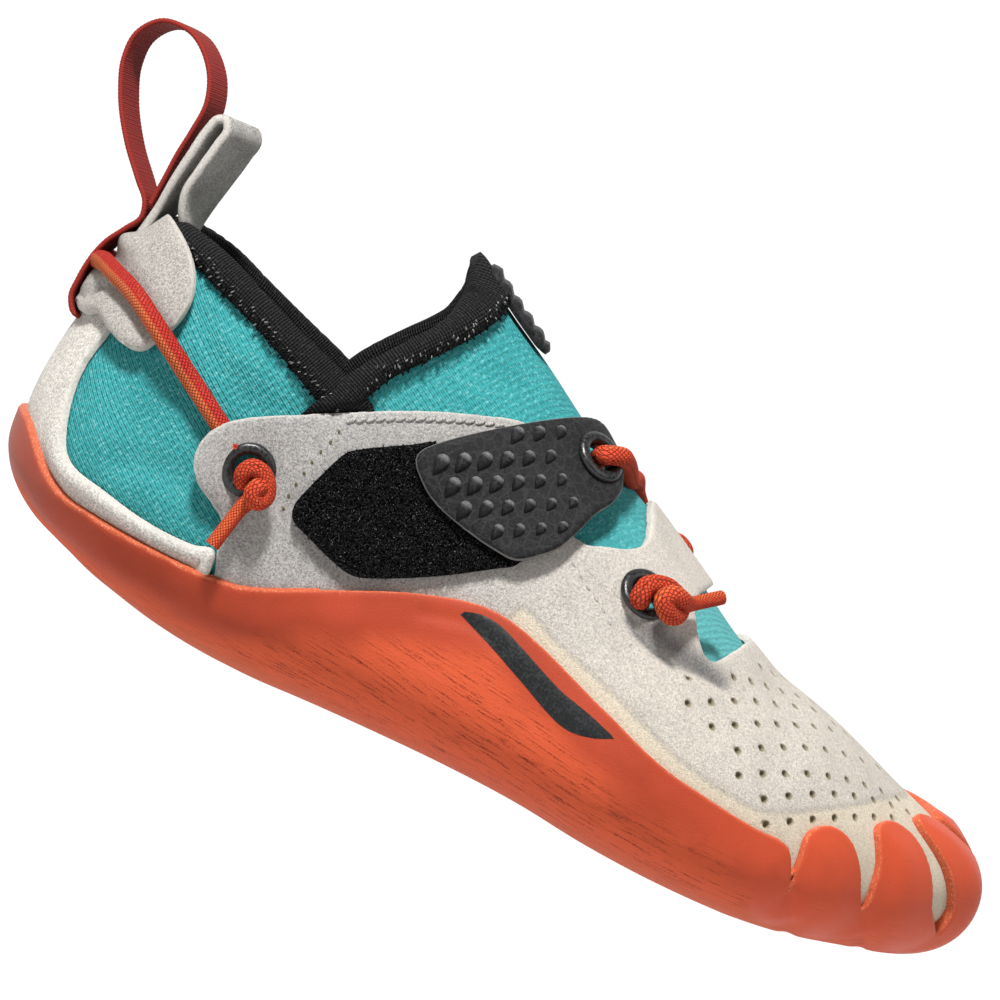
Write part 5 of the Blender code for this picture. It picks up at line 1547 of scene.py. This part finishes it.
def ribbon(rows, half, thick, step, ribs, taper=0.0):
    """A flat strap along rows of x, height and turn, with round edges: points, faces and values.

    taper has the share of its width that it loses towards its foot."""
    path = curve([(x, height, 0.0, turn) for x, height, turn in rows], step)
    turn = path[:, 3]
    centre = np.column_stack([path[:, 0], -(path[:, 0] - PULL_X) * np.tan(turn), path[:, 1]])
    width = np.column_stack([np.sin(turn), np.cos(turn), np.zeros(len(path))])
    slim = 1 - taper * (1 - step_up(path[:, 1], TAB_FOOT, TAB_FOOT + TAPER_LENGTH))
    tangent = np.gradient(centre, axis=0)
    tangent /= np.linalg.norm(tangent, axis=1, keepdims=True)
    out = np.cross(width, tangent)
    out /= np.linalg.norm(out, axis=1, keepdims=True)
    round_edge = thick / 2
    flat = np.linspace(-half + round_edge, half - round_edge, 19)
    bend = np.radians(np.linspace(90, -90, 7)[1:-1])
    section = [(u, round_edge) for u in flat]
    section += [(half - round_edge + round_edge * math.cos(a), round_edge * math.sin(a)) for a in bend]
    section = np.array(section + [(-u, -v) for u, v in section])
    count = len(section)
    along = np.concatenate([[0], np.cumsum(np.linalg.norm(np.diff(centre, axis=0), axis=1))])
    wave = ribs * np.sin(along * 2 * math.pi / RIB_PITCH)
    depth = section[:, 1][None] * (1 + wave[:, None] / thick)
    across = slim[:, None] * section[:, 0][None]
    points = centre[:, None] + width[:, None] * across[:, :, None] + out[:, None] * depth[:, :, None]
    faces = []
    for i in range(len(path) - 1):
        for j in range(count):
            k = (j + 1) % count
            faces.append((i * count + j, (i + 1) * count + j, (i + 1) * count + k, i * count + k))
    faces.append(list(range(count)))
    faces.append([(len(path) - 1) * count + j for j in range(count)][::-1])
    values = {
        "along": np.repeat(along, count),
        "across": np.tile(section[:, 0], len(path)),
        "edge": np.tile(half - np.abs(section[:, 0]), len(path)),
    }
    return points.reshape(-1, 3), faces, values


def build_pulls():
    """The folded suede tab on the heel and the webbing loop behind it."""
    rows = [(x, h, PULL_TURN * float(step_up(h, TAB_FOOT, TAB_FOOT + 10))) for x, h in PULL_TAB]
    points, faces, values = ribbon(rows, TAB_HALF, TAB_THICK, 0.5, 0.0, TAB_TAPER)
    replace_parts(new_piece("pull_tab_suede", points, faces, TAB_SUEDE, values), "pull_tab")
    rows = [(x, h, WEBBING_TURN * share) for x, h, share in WEBBING]
    points, faces, values = ribbon(rows, WEBBING_HALF, WEBBING_THICK, 0.175, 0.06)
    strap = new_piece("webbing_strap", points, faces, WEBBING_LOOK, values)
    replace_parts(strap, "webbing_loop")


def bead_ends(rings, count):
    """For each point of a bead, -1 at its first end to 1 at its last."""
    between = -np.cos(np.arange(1, rings) * math.pi / rings)
    return np.concatenate([[-1.0], np.repeat(between, count), [1.0]])


def beads(places, sizes, lean=0.0, rings=5, count=8):
    """Many small beads as one mesh, round or leaning to a drop. Each place has three axes and a centre."""
    unit = [(-1.0, 0.0, 0.0)]
    for i in range(1, rings):
        a = math.pi * i / rings
        for b in np.arange(count) * 2 * math.pi / count:
            unit.append((-math.cos(a), math.sin(a) * math.cos(b), math.sin(a) * math.sin(b)))
    unit.append((1.0, 0.0, 0.0))
    last = len(unit) - 1
    faces = []
    for j in range(count):
        k = (j + 1) % count
        faces.append((0, 1 + k, 1 + j))
        faces.append((last, last - count + j, last - count + k))
        for i in range(rings - 2):
            a = 1 + i * count
            faces.append((a + j, a + k, a + count + k, a + count + j))
    unit = np.array(unit)
    unit[:, 1:] *= (1 + lean * unit[:, :1]) / (1 + lean * 0.5)
    points = [centre + (unit * size) @ axes for (axes, centre), size in zip(places, sizes)]
    all_faces = [[v + i * len(unit) for v in face] for i in range(len(points)) for face in faces]
    return np.concatenate(points), all_faces


LOOK_AHEAD = 0.4  # how far along a seam the direction of a stitch is read


def stitches(name, rows, distance, pitch, size, slant, loose=0.0, look=THREAD):
    """Raised stitches along a seen line on both sides. Loose ones stray by a share of the pitch."""
    line = smooth_line(rows, closed=False, steps=10)
    run = np.concatenate([[0], np.cumsum(np.linalg.norm(np.diff(line, axis=0), axis=1))])
    marks = np.arange(pitch / 2, run[-1], pitch)

    def place_at(mark, side):
        """The place of the seam at a running length."""
        return spot(*[np.interp(mark, run, line[:, i]) for i in (0, 1)], distance, side)

    places = []
    for side in (-1, 1):
        strayed = marks + loose * pitch * RANDOM.normal(size=len(marks))
        for mark in np.clip(strayed, 0, run[-1] - LOOK_AHEAD):
            here = place_at(mark, side)
            axes = axes_at(here, place_at(mark + LOOK_AHEAD, side).point - here.point)
            turn = math.radians(slant) + loose * RANDOM.normal()
            first = axes[0] * math.cos(turn) + axes[1] * math.sin(turn)
            stray = axes[1] * loose * pitch * RANDOM.normal()
            places.append((np.stack([first, np.cross(axes[2], first), axes[2]]), here.point + stray))
    sizes = [np.array(size) * (1 + loose * RANDOM.uniform(-1, 1)) for _ in places]
    points, faces = beads(places, sizes)
    new_piece(name, points, faces, look)


BLADE_TRIES = 9000
BLADE_HALF_WIDTH, BLADE_ROOT = 0.09, 0.25
BLADE_HEIGHTS = (0.45, 0.95)
PATCH_MIDDLE, PATCH_REACH = 70, 30  # where along the shoe the patch is looked for


def build_pile():
    """Short stiff loops all over the closure patch, as one mesh of thin bent blades."""
    low, high = np.min(PATCH_LINE, axis=0), np.max(PATCH_LINE, axis=0)
    tries = low + RANDOM.random((BLADE_TRIES, 2)) * (high - low)
    tries = tries[outline_field(tries, smooth_line(PATCH_LINE)) > 0.1]
    view = seen_at(PATCH_OUTER)
    near = np.abs(view[:, 0] - PATCH_MIDDLE) < PATCH_REACH
    outer_side = np.flatnonzero(ON_OUTER & (GRID_ANGLE > LOWEST_ANGLE) & near)
    points, faces = [], []
    for place in tries:
        nearest = outer_side[np.argmin(((view[outer_side] - place) ** 2).sum(axis=1))]
        normal = NORMALS[nearest]
        gap = place - view[nearest]
        foot = POINTS[nearest] + normal * (PATCH_OUTER - BLADE_ROOT)
        foot = foot + VIEW_RIGHT * gap[0] + VIEW_UP * gap[1]
        lean = RANDOM.normal(size=3)
        lean -= normal * (lean @ normal)
        lean /= np.linalg.norm(lean)
        side = np.cross(normal, lean) * BLADE_HALF_WIDTH
        tall = RANDOM.uniform(*BLADE_HEIGHTS)
        middle = foot + normal * tall * 0.75 + lean * 0.2
        tip = foot + normal * tall * 0.8 + lean * 0.65
        start = len(points)
        points += [foot - side, foot + side, middle + side, middle - side, tip]
        faces += [(start, start + 1, start + 2, start + 3), (start + 3, start + 2, start + 4)]
    new_piece("loop_patch_fibres", np.array(points), faces, FIBRE, sharp=180)


def shifted_band(low, shift):
    """A band's low edge moved up across it."""
    line = smooth_line(low, closed=False)
    ahead = np.gradient(line, axis=0)
    ahead /= np.linalg.norm(ahead, axis=1, keepdims=True)
    return line + np.column_stack([-ahead[:, 1], ahead[:, 0]]) * shift


SEAM_BANDS = [("rear", REAR_LOW[1:-1], 0.9), ("front", FRONT_LOW[1:-2], 2.0)]
SEAM_THREADS = [
    ("edge", -0.15, 0.7, (0.48, 0.2, 0.26), BAND_THREAD),
    ("upper_edge", -0.9, 0.8, (0.5, 0.18, 0.26), BAND_THREAD),
    ("specks", -0.9, 1.2, (0.32, 0.12, 0.18), PALE_THREAD),
    ("upper_specks", -1.8, 1.3, (0.30, 0.11, 0.17), PALE_THREAD),
]
SEAM_SLANT, SEAM_LOOSE = 62, 0.3


def build_collar_seam():
    """Zig-zag threads along the low edge of both bands: two rows of dark ones and two of pale specks."""
    for name, low, away in SEAM_BANDS:
        for kind, shift, pitch, size, look in SEAM_THREADS:
            lift = away + 1.1 * (shift < -0.5) + 0.35 * (shift < -1.5)
            rows = shifted_band(low, shift)[::4]
            piece_name = f"collar_{name}_{kind}"
            stitches(piece_name, rows, lift, pitch, size, SEAM_SLANT, SEAM_LOOSE, look)


QUARTER_SEAM = [
    (81.0, 60.0), (74.4, 57.9), (67.9, 55.2), (59.9, 51.3), (52.6, 47.2),
]
REAR_SEAM = [
    (52.2, 46.0), (52.0, 43.6), (50.7, 39.5), (49.8, 34.2), (49.4, 30.0), (49.9, 26.3),
]
VAMP_SEAM = [
    (98.5, 43.4), (101.3, 41.8), (104.3, 40.0), (106.9, 38.7), (109.0, 37.3), (110.6, 36.1),
]


def build_stitches():
    """Seams of the quarter and the vamp."""
    stitches("quarter_seam", QUARTER_SEAM, SUEDE_OUTER + 0.05, 1.75, (1.0, 0.42, 0.4), 18)
    stitches("rear_seam", REAR_SEAM, SUEDE_OUTER + 0.02, 2.4, (0.4, 0.28, 0.1), 40, look=HOLE)
    stitches("vamp_seam", VAMP_SEAM, SUEDE_OUTER, 2.4, (0.62, 0.3, 0.25), 0)


STUD_ORIGIN = np.array([70.6, 47.7])
STUD_ALONG = np.array([3.31, 2.0])
STUD_ACROSS = np.array([3.65, -2.68])
STUD_SIZE, STUD_SHRINK = np.array([2.15, 1.5, 1.35]), np.array([0.85, 0.5, 0.45])
STUD_LEAN, STUD_RINGS, STUD_SIDES = 0.6, 7, 12
STUD_EDGE_ROOM, STUD_EYELET_ROOM = 1.9, 6.3
STUD_EDGE_VALUE = 5.0  # studs are well inside the tab's cut edge


def build_studs():
    """Raised drops on the strap tab, large at its tip and smaller towards the eyelet."""
    line = smooth_line(TAB_LINE)
    eyelet = np.array(TAB_EYELET)
    places, sizes = [], []
    for i in range(-3, 5):
        for j in range(-4, 10):
            seen_place = STUD_ORIGIN + i * STUD_ACROSS + j * STUD_ALONG
            room = outline_field(seen_place[None], line)[0]
            if room < STUD_EDGE_ROOM or np.linalg.norm(seen_place - eyelet) < STUD_EYELET_ROOM:
                continue
            share = float(step_up(seen_place[0], 70, 96))
            here = spot(*seen_place, STRAP_OUTER - 0.4)
            axes = axes_at(here, PICTURE_UP + 0.7 * PICTURE_RIGHT)
            places.append((axes, here.point))
            sizes.append(STUD_SIZE - STUD_SHRINK * share)
    points, faces = beads(places, sizes, STUD_LEAN, STUD_RINGS, STUD_SIDES)
    tips = np.tile(bead_ends(STUD_RINGS, STUD_SIDES), len(places))
    values = {"edge": np.full(len(points), STUD_EDGE_VALUE), "tip": tips}
    new_piece("strap_tab_studs", points, faces, GRIP, values)


build_outsole()
build_collar()
build_sock()
build_suede()
build_heel_suede()
build_closure()
build_tongue_patch()
build_eyelets()
build_cords()
build_knots()
build_pulls()
build_stitches()
build_studs()
build_collar_seam()
build_pile()


def glowing(name, glow):
    """Plain pale paper that also glows, as on a light table."""
    look = Look(name, 0.9, Emission_Strength=glow, Specular_IOR_Level=0.0)
    grain = look.noise(0.02, 2.0)
    look.set(Base_Color=look.mix(grain, (0.07, 0.07, 0.07), (0.09, 0.09, 0.09)))
    look.shader.inputs["Emission Color"].default_value = (1, 1, 1, 1)
    return look.material


# Lamps: name, direction from the shoe, distance, size and power
WORLD_GLOW, FLOOR_GLOW, WALL_GLOW = 0.16, 1.0, 1.0
LAMPS = [
    ("key", (-0.33, -0.50, 0.80), 0.9, 0.14, 15.0),
    ("front", (0.60, -0.35, 0.70), 1.0, 0.60, 2.0),
]


def build_stage():
    """A pale floor and a pale wall behind, a soft key light from the heel's side, and a large fill."""
    scene = bpy.context.scene
    scene.view_settings.view_transform = "Standard"
    sheets = {
        "floor": ([(-9, -9, 0), (9, -9, 0), (9, 9, 0), (-9, 9, 0)], FLOOR_GLOW),
        "backdrop": ([(-9, 5, -1), (9, 5, -1), (9, 5, 9), (-9, 5, 9)], WALL_GLOW),
    }
    for name, (corners, glow) in sheets.items():
        mesh = bpy.data.meshes.new(name)
        mesh.from_pydata(corners, [], [(0, 1, 2, 3)])
        mesh.materials.append(glowing(name + "_paper", glow))
        sheet = bpy.data.objects.new(name, mesh)
        scene.collection.objects.link(sheet)
    studio = bpy.data.worlds.new("studio")
    studio.use_nodes = True
    background = studio.node_tree.nodes["Background"]
    background.inputs[0].default_value = (1.0, 1.0, 1.0, 1.0)
    background.inputs[1].default_value = WORLD_GLOW
    scene.world = studio
    target = Vector(world(VIEW_CENTRE))
    for name, direction, away, size, power in LAMPS:
        lamp = bpy.data.lights.new(name, "AREA")
        lamp.energy = power
        lamp.size = size
        holder = bpy.data.objects.new(name, lamp)
        holder.location = target + Vector(direction).normalized() * away
        holder.rotation_euler = (target - holder.location).to_track_quat("-Z", "Y").to_euler()
        scene.collection.objects.link(holder)


SENSOR_WIDTH = 36.0


def build_camera():
    """The camera on the outer side, rolled so that the toe points down."""
    turn = Matrix([PICTURE_RIGHT, PICTURE_UP, -VIEW_AHEAD]).transposed().to_4x4()
    camera_data = bpy.data.cameras.new("camera")
    camera_data.sensor_width = SENSOR_WIDTH
    camera_data.lens = SENSOR_WIDTH * VIEW_DISTANCE / VIEW_WIDTH
    camera_data.clip_end = 50.0
    camera = bpy.data.objects.new("camera", camera_data)
    camera.matrix_world = Matrix.Translation(world(VIEW_CENTRE - VIEW_AHEAD * VIEW_DISTANCE)) @ turn
    bpy.context.scene.collection.objects.link(camera)
    bpy.context.scene.camera = camera


build_stage()
build_camera()
